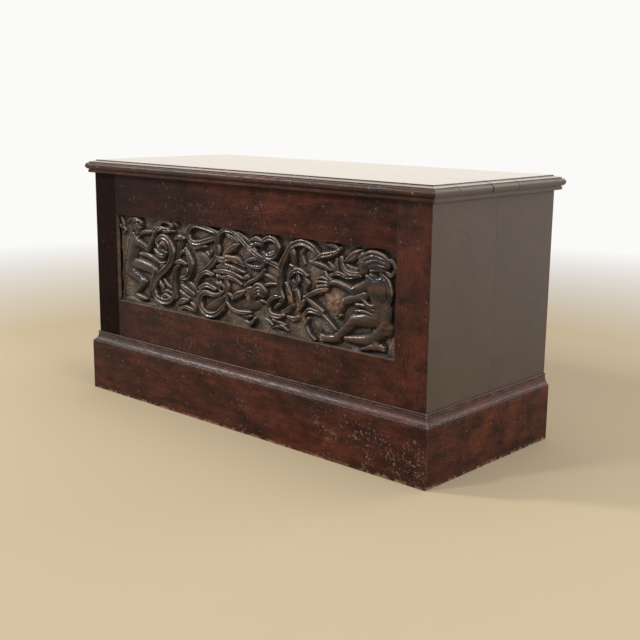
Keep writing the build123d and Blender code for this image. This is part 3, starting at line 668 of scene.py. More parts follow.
# Paths of the carving: x, z, height above the ground and width, in millimetres
scrollwork = [
    ("limb", [(-510, 268, 3, 20), (-482, 272, 4, 26), (-451, 275, 5, 24), (-402, 272, 4, 20),
        (-352, 272, 4, 16)]),
    ("leaf", [(-510, 506, 6, 18), (-489, 501, 9, 14), (-478, 487, 8, 7)]),
    ("limb", [(-506, 481, 8, 12), (-494, 483, 10, 12), (-488, 477, 8, 9)]),
    ("limb", [(-478, 479, 8, 9), (-471, 472, 9, 10), (-481, 463, 7, 8)]),
    ("limb", [(-461, 497, 7, 12), (-447, 506, 9, 12), (-427, 510, 9, 10)]),
    ("leaf", [(-347, 429, 7, 10), (-327, 419, 11, 14), (-308, 416, 11, 14), (-297, 426, 9, 10)]),
    ("leaf", [(-338, 449, 8, 8), (-323, 434, 11, 12), (-306, 430, 10, 10)]),
    ("leaf", [(-326, 459, 8, 8), (-305, 450, 11, 12), (-295, 438, 9, 8)]),
    ("band", [(-332, 456, 10, 9), (-312, 468, 13, 13), (-288, 465, 14, 16), (-271, 449, 14, 17),
        (-265, 427, 14, 17), (-272, 405, 13, 17), (-291, 385, 13, 17), (-316, 368, 13, 17),
        (-336, 349, 13, 17), (-346, 325, 14, 16), (-339, 303, 14, 16), (-315, 293, 14, 16),
        (-288, 295, 13, 15), (-269, 306, 11, 11), (-267, 320, 9, 7)]),
    ("leaf", [(-325, 350, 9, 7), (-316, 337, 13, 12), (-309, 326, 10, 7)]),
    ("leaf", [(-306, 353, 8, 6), (-291, 340, 11, 10), (-275, 334, 9, 6)]),
    ("leaf", [(-320, 301, 8, 6), (-300, 310, 12, 12), (-281, 306, 9, 8)]),
    ("leaf", [(-309, 319, 7, 8), (-292, 323, 9, 8), (-277, 319, 7, 6)]),
    ("band", [(-323, 498, 11, 9), (-307, 510, 12, 9), (-285, 511, 12, 9), (-268, 502, 13, 9),
        (-274, 492, 13, 9), (-296, 489, 13, 10), (-317, 493, 12, 9), (-323, 498, 11, 9)]),
    ("leaf", [(-355, 481, 7, 8), (-336, 487, 10, 14), (-317, 488, 11, 12)]),
    ("leaf", [(-307, 482, 9, 5), (-282, 486, 13, 9), (-260, 488, 10, 5)]),
    ("leaf", [(-271, 513, 7, 6), (-253, 508, 11, 9), (-248, 501, 9, 5)]),
    ("band", [(-233, 466, 9, 14), (-240, 438, 9, 15), (-248, 411, 8, 13)]),
    ("leaf", [(-259, 466, 9, 5), (-238, 474, 13, 15), (-217, 473, 12, 8)]),
    ("limb", [(-235, 432, 9, 9), (-221, 438, 11, 11), (-213, 434, 9, 8)]),
    ("band", [(-215, 445, 9, 9), (-201, 431, 12, 13), (-191, 409, 13, 15), (-196, 385, 13, 15),
        (-211, 370, 12, 14), (-233, 365, 10, 9)]),
    ("limb", [(-210, 390, 9, 10), (-205, 382, 11, 11), (-213, 376, 9, 9)]),
    ("leaf", [(-256, 405, 10, 7), (-233, 410, 14, 13), (-211, 406, 12, 7)]),
    ("band", [(-243, 398, 11, 8), (-256, 383, 12, 13), (-262, 355, 12, 15), (-261, 328, 11, 14),
        (-256, 310, 9, 9)]),
    ("leaf", [(-235, 342, 6, 14), (-212, 336, 9, 16), (-189, 327, 7, 12)]),
    ("leaf", [(-242, 327, 6, 10), (-222, 320, 9, 12), (-205, 315, 7, 8)]),
    ("leaf", [(-210, 357, 6, 10), (-187, 350, 9, 13), (-175, 337, 7, 8)]),
    ("leaf", [(-252, 292, 8, 5), (-228, 304, 13, 18), (-209, 309, 9, 7)]),
    ("band", [(-240, 283, 8, 7), (-218, 289, 10, 9), (-196, 286, 10, 9), (-180, 283, 8, 6)]),
    ("leaf", [(-197, 302, 7, 8), (-183, 295, 9, 9), (-179, 283, 7, 5)]),
    ("limb", [(-162, 436, 4, 26), (-143, 427, 5, 34), (-132, 421, 4, 20)]),
    ("leaf", [(-183, 448, 7, 8), (-157, 457, 12, 10), (-133, 460, 9, 5)]),
    ("band", [(-80, 497, 13, 12), (-90, 475, 12, 13), (-87, 450, 11, 14), (-101, 428, 10, 15),
        (-126, 406, 10, 15), (-152, 390, 9, 14), (-174, 367, 8, 11)]),
    ("band", [(-93, 494, 11, 9), (-103, 484, 11, 11), (-133, 474, 12, 12), (-164, 466, 13, 12),
        (-187, 468, 14, 12), (-199, 485, 14, 13), (-191, 503, 14, 13), (-169, 512, 14, 12),
        (-139, 509, 13, 12), (-109, 504, 13, 11), (-88, 499, 13, 10)]),
    ("limb", [(-131, 444, 7, 10), (-119, 439, 9, 11), (-115, 449, 7, 8)]),
    ("band", [(-172, 358, 9, 9), (-157, 379, 11, 11), (-133, 393, 12, 11), (-109, 390, 12, 8)]),
    ("band", [(-158, 349, 11, 10), (-129, 360, 13, 12), (-99, 354, 12, 9)]),
    ("band", [(-169, 335, 9, 8), (-135, 341, 11, 10), (-105, 337, 12, 9), (-80, 343, 12, 7),
        (-63, 351, 10, 5)]),
    ("band", [(-85, 356, 11, 6), (-78, 367, 12, 7), (-66, 365, 12, 7), (-64, 353, 11, 6),
        (-75, 348, 11, 6), (-85, 356, 11, 6)]),
    ("limb", [(-95, 370, 9, 10), (-85, 368, 12, 11), (-79, 372, 9, 9)]),
    ("limb", [(-94, 389, 8, 9), (-88, 386, 10, 10), (-84, 389, 8, 8)]),
    ("fluted", [(-131, 299, 7, 16), (-105, 311, 9, 30), (-81, 326, 9, 26), (-68, 337, 8, 10)]),
    ("band", [(-101, 334, 11, 7), (-123, 338, 12, 9), (-145, 334, 12, 12), (-157, 317, 13, 14),
        (-152, 297, 13, 15), (-130, 284, 13, 15), (-100, 286, 13, 14), (-75, 303, 13, 12),
        (-57, 324, 11, 7)]),
    ("leaf", [(-100, 437, 8, 10), (-70, 431, 13, 20), (-43, 439, 12, 16), (-13, 434, 11, 13),
        (6, 423, 8, 6)]),
    ("leaf", [(-68, 445, 8, 6), (-40, 440, 12, 13), (-15, 440, 12, 12), (1, 431, 9, 6)]),
    ("leaf", [(-92, 411, 8, 8), (-65, 418, 11, 14), (-40, 416, 12, 14), (-13, 412, 11, 11),
        (8, 409, 8, 5)]),
    ("leaf", [(-105, 399, 7, 7), (-77, 402, 11, 13), (-53, 403, 12, 13), (-25, 400, 11, 11),
        (0, 393, 8, 6)]),
    ("leaf", [(-79, 385, 7, 8), (-50, 390, 11, 12), (-23, 386, 11, 11), (-3, 377, 8, 6)]),
    ("limb", [(10, 395, 8, 14), (19, 398, 11, 16), (22, 393, 8, 10)]),
    ("leaf", [(-65, 450, 9, 5), (-42, 460, 13, 14), (-22, 472, 13, 14), (-7, 479, 9, 5)]),
    ("band", [(-53, 499, 11, 7), (-31, 492, 12, 9), (-12, 484, 10, 7)]),
    ("band", [(-60, 388, 10, 10), (-52, 366, 11, 11), (-56, 344, 10, 10), (-55, 328, 10, 8)]),
    ("leaf", [(-35, 334, 12, 6), (-17, 348, 14, 16), (2, 356, 13, 15), (14, 364, 10, 7)]),
    ("leaf", [(-56, 349, 8, 6), (-42, 344, 10, 10), (-32, 337, 8, 6)]),
    ("band", [(-59, 329, 10, 5), (-42, 315, 13, 8), (-19, 307, 13, 9), (6, 307, 13, 9),
        (29, 311, 11, 6)]),
    ("band", [(49, 299, 11, 5), (43, 288, 13, 8), (30, 282, 13, 9), (15, 286, 10, 6)]),
    ("leaf", [(3, 297, 7, 8), (19, 298, 9, 10), (30, 301, 8, 7)]),
    ("band", [(-13, 507, 9, 6), (16, 495, 10, 7), (40, 478, 10, 7), (56, 462, 10, 6)]),
    ("band", [(-80, 498, 13, 11), (-65, 507, 14, 11), (-47, 510, 14, 10), (-27, 507, 14, 10),
        (-3, 494, 14, 11), (22, 477, 14, 11), (47, 463, 14, 11), (72, 453, 13, 10), (99, 446, 12, 10),
        (125, 439, 11, 12), (140, 430, 10, 10)]),
    ("leaf", [(32, 492, 8, 7), (53, 498, 11, 12), (72, 494, 10, 7)]),
    ("leaf", [(27, 475, 7, 7), (50, 484, 10, 11), (69, 484, 9, 7)]),
    ("limb", [(83, 461, 7, 14), (100, 463, 10, 20), (108, 469, 8, 12)]),
    ("band", [(75, 480, 11, 6), (80, 495, 13, 10), (101, 504, 14, 12), (121, 499, 14, 12),
        (130, 483, 14, 12), (123, 467, 13, 12), (107, 458, 12, 12), (90, 457, 11, 11),
        (77, 465, 10, 8)]),
    ("limb", [(29, 435, 5, 12), (49, 437, 7, 14), (65, 437, 5, 10)]),
    ("band", [(15, 436, 12, 7), (36, 445, 13, 8), (61, 448, 12, 8), (79, 440, 11, 8), (69, 429, 12, 8),
        (42, 427, 13, 8), (22, 430, 13, 8), (15, 436, 12, 7)]),
    ("band", [(79, 424, 9, 6), (66, 409, 10, 9), (51, 396, 11, 9), (31, 387, 12, 9), (11, 374, 9, 5)]),
    ("leaf", [(69, 381, 7, 6), (95, 390, 9, 8), (120, 394, 8, 6)]),
    ("leaf", [(79, 412, 5, 8), (101, 407, 7, 10), (117, 401, 5, 8)]),
    ("band", [(175, 497, 12, 12), (159, 473, 12, 13), (145, 450, 12, 15), (137, 425, 12, 16),
        (135, 399, 12, 16), (136, 378, 12, 15), (144, 361, 12, 13), (138, 347, 11, 9)]),
    ("band", [(141, 364, 11, 7), (119, 362, 12, 9), (102, 349, 12, 10), (96, 332, 12, 10),
        (106, 318, 13, 11), (129, 315, 13, 11), (148, 321, 10, 6)]),
    ("leaf", [(144, 349, 8, 6), (131, 343, 11, 10), (117, 334, 9, 6)]),
    ("leaf", [(53, 351, 9, 7), (75, 346, 12, 9), (90, 342, 9, 5)]),
    ("leaf", [(85, 301, 7, 7), (102, 294, 10, 10), (108, 283, 8, 5)]),
    ("leaf", [(109, 303, 7, 6), (133, 300, 9, 9), (151, 297, 7, 5)]),
    ("leaf", [(119, 287, 7, 6), (142, 291, 10, 10), (159, 284, 7, 5)]),
    ("leaf", [(154, 399, 8, 9), (165, 376, 11, 15), (173, 348, 9, 9)]),
    ("leaf", [(140, 327, 6, 10), (163, 336, 9, 15), (177, 349, 7, 9)]),
    ("leaf", [(158, 317, 6, 10), (180, 315, 8, 14), (195, 323, 6, 8)]),
    ("leaf", [(178, 409, 8, 7), (190, 387, 12, 12), (200, 362, 10, 8)]),
    ("leaf", [(218, 370, 10, 5), (209, 355, 13, 14), (197, 340, 12, 6)]),
    ("band", [(165, 416, 9, 8), (179, 430, 12, 11), (201, 436, 12, 12), (223, 427, 11, 8)]),
    ("leaf", [(214, 421, 8, 8), (226, 410, 10, 11), (220, 393, 8, 7)]),
    ("leaf", [(167, 445, 7, 7), (181, 442, 9, 8), (195, 441, 7, 6)]),
    ("leaf", [(192, 427, 8, 8), (193, 408, 11, 12), (179, 388, 9, 8)]),
    ("leaf", [(173, 496, 9, 7), (178, 475, 13, 14), (182, 448, 9, 6)]),
    ("band", [(214, 491, 8, 5), (206, 474, 9, 8), (215, 454, 9, 6)]),
    ("band", [(157, 474, 11, 9), (177, 494, 13, 13), (207, 504, 14, 15), (235, 499, 14, 15),
        (257, 484, 12, 13), (267, 468, 9, 8)]),
    ("leaf", [(232, 461, 8, 6), (255, 460, 12, 10), (281, 455, 12, 10), (299, 448, 9, 5)]),
    ("leaf", [(246, 467, 11, 4), (272, 479, 14, 14), (297, 485, 14, 14), (320, 494, 12, 9),
        (329, 504, 9, 5)]),
    ("leaf", [(279, 506, 7, 5), (307, 506, 11, 10), (325, 498, 9, 6)]),
    ("leaf", [(292, 465, 8, 8), (308, 454, 11, 13), (323, 442, 9, 7)]),
    ("leaf", [(315, 475, 6, 8), (315, 462, 9, 10), (321, 449, 7, 7)]),
    ("band", [(296, 436, 9, 6), (323, 444, 11, 9), (351, 439, 11, 9), (389, 446, 9, 6)]),
    ("band", [(331, 482, 10, 6), (335, 465, 12, 10), (348, 452, 13, 11), (370, 449, 13, 10),
        (394, 452, 10, 7)]),
    ("leaf", [(342, 467, 6, 7), (358, 461, 8, 10), (374, 459, 6, 7)]),
    ("leaf", [(340, 473, 8, 5), (363, 486, 13, 20), (382, 497, 13, 17), (393, 504, 9, 7)]),
    ("leaf", [(287, 403, 12, 8), (262, 395, 13, 13), (237, 383, 12, 12), (214, 373, 10, 7)]),
    ("band", [(217, 376, 11, 6), (246, 363, 13, 9), (273, 349, 11, 8)]),
    ("band", [(217, 332, 12, 7), (233, 345, 13, 11), (258, 344, 13, 10), (284, 338, 10, 6)]),
    ("band", [(279, 338, 11, 8), (300, 323, 13, 11), (321, 306, 11, 9)]),
    ("limb", [(250, 314, 4, 14), (258, 302, 6, 24), (260, 288, 4, 16)]),
    ("band", [(231, 326, 11, 6), (224, 307, 12, 8), (233, 289, 12, 8), (250, 277, 10, 6)]),
    ("limb", [(279, 394, 3, 20), (293, 376, 4, 34), (287, 358, 3, 20)]),
]
kneelingFigure = [
    ("limb", [(-431, 451, 14, 44), (-442, 419, 13, 48), (-452, 389, 13, 44), (-458, 365, 13, 44)]),
    ("limb", [(-458, 361, 13, 42), (-427, 349, 14, 32), (-393, 337, 14, 25)]),
    ("limb", [(-391, 336, 14, 24), (-409, 319, 12, 19), (-429, 303, 11, 14)]),
    ("limb", [(-434, 296, 10, 13), (-412, 291, 13, 17), (-389, 289, 11, 11)]),
    ("limb", [(-446, 382, 10, 34), (-404, 382, 13, 34), (-363, 377, 14, 30), (-342, 372, 13, 22)]),
    ("limb", [(-345, 371, 12, 20), (-356, 343, 10, 17), (-365, 316, 9, 13), (-368, 302, 10, 13)]),
    ("limb", [(-424, 449, 15, 22), (-396, 439, 15, 20), (-367, 429, 14, 17)]),
    ("limb", [(-367, 429, 14, 17), (-354, 451, 13, 15), (-342, 477, 12, 12)]),
    ("limb", [(-342, 477, 12, 12), (-329, 487, 12, 10)]),
    ("limb", [(-419, 460, 11, 16), (-393, 472, 11, 14), (-355, 478, 11, 11)]),
    ("limb", [(-429, 471, 12, 20), (-432, 455, 13, 24)]),
]
kneelingHead = [
    ("dome", [(-417, 489, 18, 20, 0, 15, 11)]),
    ("limb", [(-408, 493, 15, 7), (-402, 485, 15, 7)]),
    ("limb", [(-412, 476, 13, 9), (-406, 477, 13, 7)]),
    ("limb", [(-416, 469, 13, 10), (-408, 470, 13, 8)]),
]
kneelingTrim = [
    ("limb", [(-407, 412, 9, 9), (-367, 411, 12, 13), (-335, 401, 12, 12), (-314, 393, 10, 9)]),
    ("limb", [(-317, 397, 11, 5), (-304, 399, 10, 4)]),
    ("limb", [(-316, 392, 11, 5), (-304, 391, 9, 4)]),
    ("limb", [(-320, 388, 10, 5), (-309, 384, 9, 4)]),
    ("limb", [(-391, 290, 11, 6), (-383, 289, 9, 5)]),
    ("limb", [(-333, 487, 12, 5), (-323, 492, 11, 4)]),
    ("limb", [(-331, 483, 12, 5), (-320, 484, 10, 4)]),
    ("limb", [(-432, 475, 13, 8), (-437, 487, 14, 9), (-433, 499, 14, 9)]),
    ("limb", [(-435, 497, 13, 8), (-425, 507, 14, 9), (-411, 508, 14, 8)]),
    ("limb", [(-426, 489, 15, 7), (-421, 500, 16, 8), (-409, 503, 16, 7)]),
    ("limb", [(-412, 508, 13, 8), (-400, 502, 13, 8), (-398, 493, 12, 6)]),
    ("limb", [(-412, 488, 16, 4), (-405, 490, 16, 4)]),
]
crouchingFigure = [
    ("limb", [(454, 363, 13, 50), (422, 351, 14, 38), (386, 345, 15, 30), (369, 342, 14, 26)]),
    ("limb", [(375, 344, 14, 28), (350, 321, 13, 24), (323, 297, 12, 19)]),
    ("limb", [(323, 292, 11, 19), (300, 287, 12, 20), (281, 284, 10, 15)]),
    ("limb", [(469, 391, 12, 26), (467, 367, 14, 32), (459, 339, 14, 34), (439, 316, 13, 32),
        (410, 302, 13, 25), (377, 297, 12, 20), (346, 295, 10, 12)]),
    ("limb", [(434, 324, 9, 12), (433, 305, 12, 14), (440, 292, 13, 18), (423, 287, 12, 14),
        (394, 277, 8, 8)]),
    ("limb", [(440, 292, 13, 16), (453, 289, 12, 12)]),
    ("limb", [(449, 377, 14, 40), (441, 401, 15, 50), (431, 425, 16, 54), (419, 442, 14, 40)]),
    ("limb", [(449, 441, 14, 22), (457, 424, 14, 22), (458, 404, 13, 20)]),
    ("limb", [(419, 437, 16, 25), (395, 422, 16, 23), (370, 411, 16, 19)]),
    ("limb", [(370, 410, 15, 18), (343, 416, 14, 16), (319, 422, 14, 13), (296, 420, 13, 16)]),
    ("limb", [(402, 403, 13, 24), (370, 392, 13, 22), (341, 381, 12, 18)]),
    ("limb", [(341, 380, 11, 15), (331, 364, 11, 13), (322, 348, 10, 10)]),
    ("limb", [(420, 469, 13, 26), (424, 449, 13, 32)]),
]
crouchingHead = [
    ("dome", [(431, 483, 36, 25, -6, 16, 11)]),
    ("dome", [(402, 473, 20, 21, 20, 15, 10)]),
    ("limb", [(387, 488, 12, 14), (397, 493, 14, 18)]),
    ("limb", [(389, 480, 13, 7), (383, 472, 13, 7)]),
    ("limb", [(387, 464, 12, 8), (393, 462, 13, 8)]),
    ("limb", [(393, 456, 12, 12), (403, 458, 12, 12)]),
]
crouchingTrim = [
    ("limb", [(295, 425, 14, 6), (276, 429, 13, 6), (259, 425, 11, 5)]),
    ("limb", [(293, 419, 14, 6), (272, 419, 13, 6), (252, 416, 10, 5)]),
    ("limb", [(294, 413, 13, 6), (275, 410, 12, 6), (257, 406, 10, 5)]),
    ("limb", [(302, 427, 13, 7), (290, 435, 13, 7), (283, 444, 11, 5)]),
    ("limb", [(285, 290, 11, 5), (270, 292, 10, 4)]),
    ("limb", [(283, 285, 11, 5), (268, 286, 10, 4)]),
    ("limb", [(281, 279, 10, 5), (268, 280, 9, 4)]),
    ("limb", [(452, 295, 13, 6), (459, 292, 11, 5)]),
    ("limb", [(452, 288, 13, 6), (460, 286, 11, 5)]),
    ("limb", [(327, 354, 11, 5), (316, 346, 10, 4)]),
    ("limb", [(331, 348, 11, 5), (323, 338, 9, 4)]),
    ("band", [(411, 449, 16, 6), (430, 437, 17, 7), (444, 417, 17, 7), (454, 398, 15, 6)]),
    ("band", [(397, 395, 14, 6), (418, 383, 15, 6), (438, 386, 15, 6), (455, 401, 14, 5)]),
    ("band", [(379, 379, 12, 6), (405, 380, 14, 7), (429, 373, 14, 7), (452, 377, 13, 6)]),
    ("band", [(379, 365, 12, 5), (405, 367, 14, 6), (427, 363, 14, 6)]),
    ("band", [(450, 457, 13, 9), (469, 442, 14, 13), (478, 416, 14, 13), (474, 393, 13, 10),
        (463, 378, 11, 6)]),
    ("limb", [(396, 491, 15, 8), (421, 503, 16, 10), (450, 500, 15, 10), (472, 488, 13, 8)]),
    ("limb", [(403, 486, 16, 8), (428, 494, 17, 9), (454, 491, 16, 9), (472, 483, 13, 7)]),
    ("limb", [(412, 478, 17, 8), (434, 485, 17, 9), (457, 483, 16, 8), (472, 478, 13, 7)]),
    ("limb", [(418, 469, 15, 8), (439, 475, 16, 8), (458, 474, 15, 8), (469, 473, 12, 6)]),
    ("limb", [(421, 461, 14, 7), (439, 465, 14, 8), (458, 466, 13, 7)]),
    ("band", [(465, 490, 12, 7), (481, 488, 12, 8), (489, 472, 12, 8), (479, 458, 12, 8),
        (465, 462, 11, 7)]),
    ("limb", [(394, 477, 15, 4), (402, 479, 15, 4)]),
]
putto = [
    ("dome", [(40, 332, 26, 14, 10, 10, 7)]),
    ("limb", [(35, 343, 11, 20), (42, 332, 10, 24)]),
    ("dome", [(64, 371, 25, 19, -8, 15, 12)]),
    ("dome", [(37, 359, 20, 21, 12, 16, 12)]),
    ("limb", [(29, 363, 16, 7), (23, 355, 16, 7)]),
    ("limb", [(24, 347, 14, 8), (31, 345, 14, 8)]),
    ("limb", [(28, 339, 13, 10), (36, 339, 13, 10)]),
    ("limb", [(21, 367, 14, 8), (30, 372, 15, 9), (40, 374, 15, 8)]),
]
puttoTrim = [
    ("limb", [(44, 375, 15, 6), (59, 386, 16, 7), (75, 383, 14, 7), (85, 372, 11, 5)]),
    ("limb", [(49, 370, 16, 6), (64, 378, 17, 7), (77, 375, 14, 7), (85, 366, 11, 5)]),
    ("limb", [(51, 363, 16, 6), (68, 370, 17, 7), (80, 366, 13, 6)]),
    ("limb", [(53, 355, 14, 6), (69, 361, 16, 7), (79, 357, 12, 5)]),
    ("limb", [(28, 361, 16, 4), (36, 363, 17, 4)]),
]
roundKnobs = [
    ("dome", [(467, 336, 19, 18, 0, 13, 11)]),
    ("dome", [(-314, 445, 9, 9, 0, 13, 5)]),
]

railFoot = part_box("front_rail_top")[0].z / mm
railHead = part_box("front_rail_bottom")[1].z / mm
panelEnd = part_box("front_stile_right")[0].x / mm
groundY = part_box("front_rail_top")[0].y / mm + carving["recess"]
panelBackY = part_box("carved_panel")[1].y / mm


# a smooth curve through a path's points
def smoothPath(points):
    knots = np.array(points, float)
    knots = np.vstack([2 * knots[0] - knots[1], knots, 2 * knots[-1] - knots[-2]])
    runs = []
    for before, start, end, after in zip(knots, knots[1:], knots[2:], knots[3:]):
        count = max(2, int(np.hypot(*(end - start)[:2]) / carving["pathStep"]))
        t = np.linspace(0, 1, count, endpoint=False)[:, None]
        bend = 2 * before - 5 * start + 4 * end - after
        twist = 3 * start - before - 3 * end + after
        runs.append(0.5 * (2 * start + (end - before) * t + bend * t**2 + twist * t**3))
    path = np.vstack([*runs, knots[-2]])
    path[:, 3] = np.maximum(path[:, 3], carving["thinnest"])
    return path


# Sections of the forms, as shares of the half width where no other unit is given
section = {
    "shoulder": 0.78,  # where the edge begins to turn down
    "edgeDrop": 1.5,
    "bandHollow": 0.48,
    "bandDeepest": 3.6,
    "bandLip": 0.72,
    "leafVein": 0.44,
    "veinDeepest": 3.0,
    "veinWidth": 0.2,
    "leafFall": 0.32,
    "flutedFall": 0.35,
    "flutes": 4,
    "fluteDepth": 0.55,
    "limbFall": 0.8,
    "limbDeepest": 13,
}


# how far a round side has dropped, on the way from 0 to 1
def roundDrop(way, share=0.97):
    return 1 - np.sqrt(1 - share * way**2)


# the form's drop from its full height, at a place from 0 at its middle to 1 at its edge
def sectionOf(kind, across, half):
    turned = np.clip((across - section["shoulder"]) / (1 - section["shoulder"]), 0, 1)
    edge = section["edgeDrop"] * roundDrop(turned, 0.98)
    if kind == "band":
        hollow = np.minimum(section["bandHollow"] * half, section["bandDeepest"])
        return hollow * np.clip(1 - (across / section["bandLip"]) ** 2, 0, 1) ** 1.3 + edge
    if kind == "leaf":
        vein = np.minimum(section["leafVein"] * half, section["veinDeepest"])
        vein = vein * np.exp(-((across / section["veinWidth"]) ** 2))
        return vein + section["leafFall"] * half * across**2 + edge
    if kind == "fluted":
        flutes = section["fluteDepth"] * (1 + np.cos(across * np.pi * section["flutes"]))
        return section["flutedFall"] * half * across**2 + edge + flutes
    return np.minimum(section["limbFall"] * half, section["limbDeepest"]) * roundDrop(across)


def windowOf(low, high):
    columns = np.searchsorted(gridX, (low[0], high[0]))
    rows = np.searchsorted(gridZ, (low[1], high[1]))
    return slice(*rows), slice(*columns)


# The height of one form over the ground, and the distance outside its edge.
# A dome holds x, z, half width, half height, turn, height and how far it rises.
def domeField(x, z, halfWidth, halfHeight, turn, height, rise):
    reach = max(halfWidth, halfHeight) + height / carving["wallSlope"] + 2
    window = windowOf((x - reach, z - reach), (x + reach, z + reach))
    dx, dz = placeX[window] - x, placeZ[window] - z
    cosTurn, sinTurn = math.cos(math.radians(turn)), math.sin(math.radians(turn))
    along, up = dx * cosTurn + dz * sinTurn, dz * cosTurn - dx * sinTurn
    away = np.hypot(along / halfWidth, up / halfHeight)
    outside = np.maximum(away - 1, 0) * min(halfWidth, halfHeight)
    drop = rise * roundDrop(np.minimum(away, 1))
    return window, height - drop - outside * carving["wallSlope"], outside


def formField(kind, points):
    if kind == "dome":
        return domeField(*points[0])
    path = smoothPath(points)
    reach = (path[:, 3] / 2 + path[:, 2] / carving["wallSlope"] + 1).max()
    window = windowOf(path[:, :2].min(0) - reach, path[:, :2].max(0) + reach)
    dx = placeX[window][..., None] - path[:, 0]
    dz = placeZ[window][..., None] - path[:, 1]
    distance = np.hypot(dx, dz)
    nearest = distance.argmin(-1)
    away = np.take_along_axis(distance, nearest[..., None], -1)[..., 0]
    half, height = path[nearest, 3] / 2, path[nearest, 2]
    drop = sectionOf(kind, np.minimum(away / half, 1), half)
    outside = np.maximum(away - half, 0)
    return window, height - drop - outside * carving["wallSlope"], outside


# each form stands over what is there, in a cut of its own
def layOver(surface, forms, cutIn, cutWidth):
    for kind, points in forms:
        window, height, outside = formField(kind, points)
        below = surface[window]
        cut = cutIn * np.clip(1 - outside / cutWidth, 0, 1) ** 2 * (outside > 0) * (below > 1)
        surface[window] = np.maximum(np.maximum(below - cut, 0), height)


# a figure's limbs run into each other
def meltTogether(forms, melt):
    figure = np.full(placeX.shape, -60.0)
    for kind, points in forms:
        window, height, outside = formField(kind, points)
        here = figure[window]
        share = np.clip(0.5 + 0.5 * (height - here) / melt, 0, 1)
        figure[window] = height * share + here * (1 - share) + melt * share * (1 - share)
    return figure


def setFigure(surface, forms, melt):
    figure = meltTogether(forms, melt)
    near = np.clip((figure + 8) / 8, 0, 1) * (surface > 1)
    return np.where(figure > surface, figure, np.maximum(surface - carving["cutIn"] * near, 0))


def blurred(field, reach):
    reach = reach / carving["cell"]
    steps = np.arange(-int(3 * reach), int(3 * reach) + 1)
    weights = np.exp(-0.5 * (steps / reach) ** 2)
    weights /= weights.sum()
    for axis in (0, 1):
        pad = [(0, 0), (0, 0)]
        pad[axis] = (-steps[0], steps[-1])
        wide = np.pad(field, pad, mode="edge")
        size = field.shape[axis]
        field = sum(w * np.take(wide, np.arange(i, i + size), axis) for i, w in enumerate(weights))
    return field


def cutSurface():
    random = np.random.RandomState(carving["seed"])
    surface = np.zeros(placeX.shape)
    layOver(surface, scrollwork, carving["cutIn"], carving["cutWidth"])
    for figure, head, trim in (
        (kneelingFigure, kneelingHead, kneelingTrim),
        (crouchingFigure, crouchingHead, crouchingTrim),
        ([], putto, puttoTrim),
    ):
        if figure:
            surface = setFigure(surface, figure, carving["melt"])
        surface = setFigure(surface, head, carving["headMelt"])
        layOver(surface, trim, carving["trimCutIn"], carving["trimCutWidth"])
    layOver(surface, roundKnobs, carving["cutIn"], carving["cutWidth"])
    surface = np.clip(surface, 0, carving["highest"])
    low = np.clip(1 - surface / 4, 0, 1)
    reach = carving["waveReach"]
    waves = blurred(random.normal(size=surface.shape), reach) * 3 * reach / carving["cell"]
    marks = blurred(random.normal(size=surface.shape), carving["markReach"]) * 3
    surface += waves * carving["groundWaves"] * (0.25 + 0.75 * low)
    surface += marks * carving["toolMarks"] * (0.4 + 1.6 * low)
    return np.maximum(surface, -carving["deepest"])


gridX = np.linspace(-panelEnd, panelEnd, int(2 * panelEnd / carving["cell"]) + 1)
gridZ = np.linspace(railHead, railFoot, int((railFoot - railHead) / carving["cell"]) + 1)
placeX, placeZ = np.meshgrid(gridX, gridZ)
carved = cutSurface()
print("carving cut,", carved.size, "points")


# how bare the wood is round each worn place
def bareness():
    spots = [np.zeros(placeX.shape)]
    for across, up, size in carving["bareSpots"]:
        spots.append(np.clip(1.3 - np.hypot(placeX - across, placeZ - up) / size, 0, 1))
    return np.max(spots, 0)


# painted highlight: the ridges are made lighter, most of all where they face up towards the light
def ridgeHighlights(near, soft):
    ridge = np.maximum((carved - near) / 1.5, 0.6 * (carved - soft) / 5)
    upward = -np.gradient(blurred(carved, 1.2), carving["cell"], axis=0)
    return np.clip(ridge, 0, 1) * np.clip(0.35 + 1.2 * upward, 0.05, 1)


def keepPointValues(mesh):
    near, soft = blurred(carved, carving["ridgeReach"]), blurred(carved, carving["hollowReach"])
    for name, values in (
        ("lift", np.clip(carved / carving["highest"], 0, 1)),
        # hollow: how far a point lies below its surroundings, used for painted shade in the cuts
        ("hollow", np.clip((soft - carved) / 5, 0, 1)),
        ("bare", bareness()),
        # the ridge attribute carries the painted highlight
        ("ridgeHighlight", ridgeHighlights(near, soft)),
    ):
        layer = mesh.attributes.new(name, "FLOAT", "POINT")
        layer.data.foreach_set("value", values.ravel().astype(np.float32))


# the cut face gets sides and a flat back
def closePanel():
    bpy.ops.object.mode_set(mode="EDIT")
    bpy.ops.mesh.select_mode(type="EDGE")
    bpy.ops.mesh.select_all(action="DESELECT")
    bpy.ops.mesh.select_non_manifold()
    bpy.ops.mesh.mark_sharp()
    bpy.ops.mesh.extrude_region_move(
        TRANSFORM_OT_translate={"value": (0, (panelBackY - groundY) * mm, 0)}
    )
    bpy.ops.transform.resize(value=(1, 0, 1), center_override=(0, panelBackY * mm, 0))
    bpy.ops.mesh.mark_sharp()
    bpy.ops.mesh.edge_face_add()
    bpy.ops.mesh.select_all(action="SELECT")
    bpy.ops.mesh.normals_make_consistent(inside=False)
    bpy.ops.object.mode_set(mode="OBJECT")


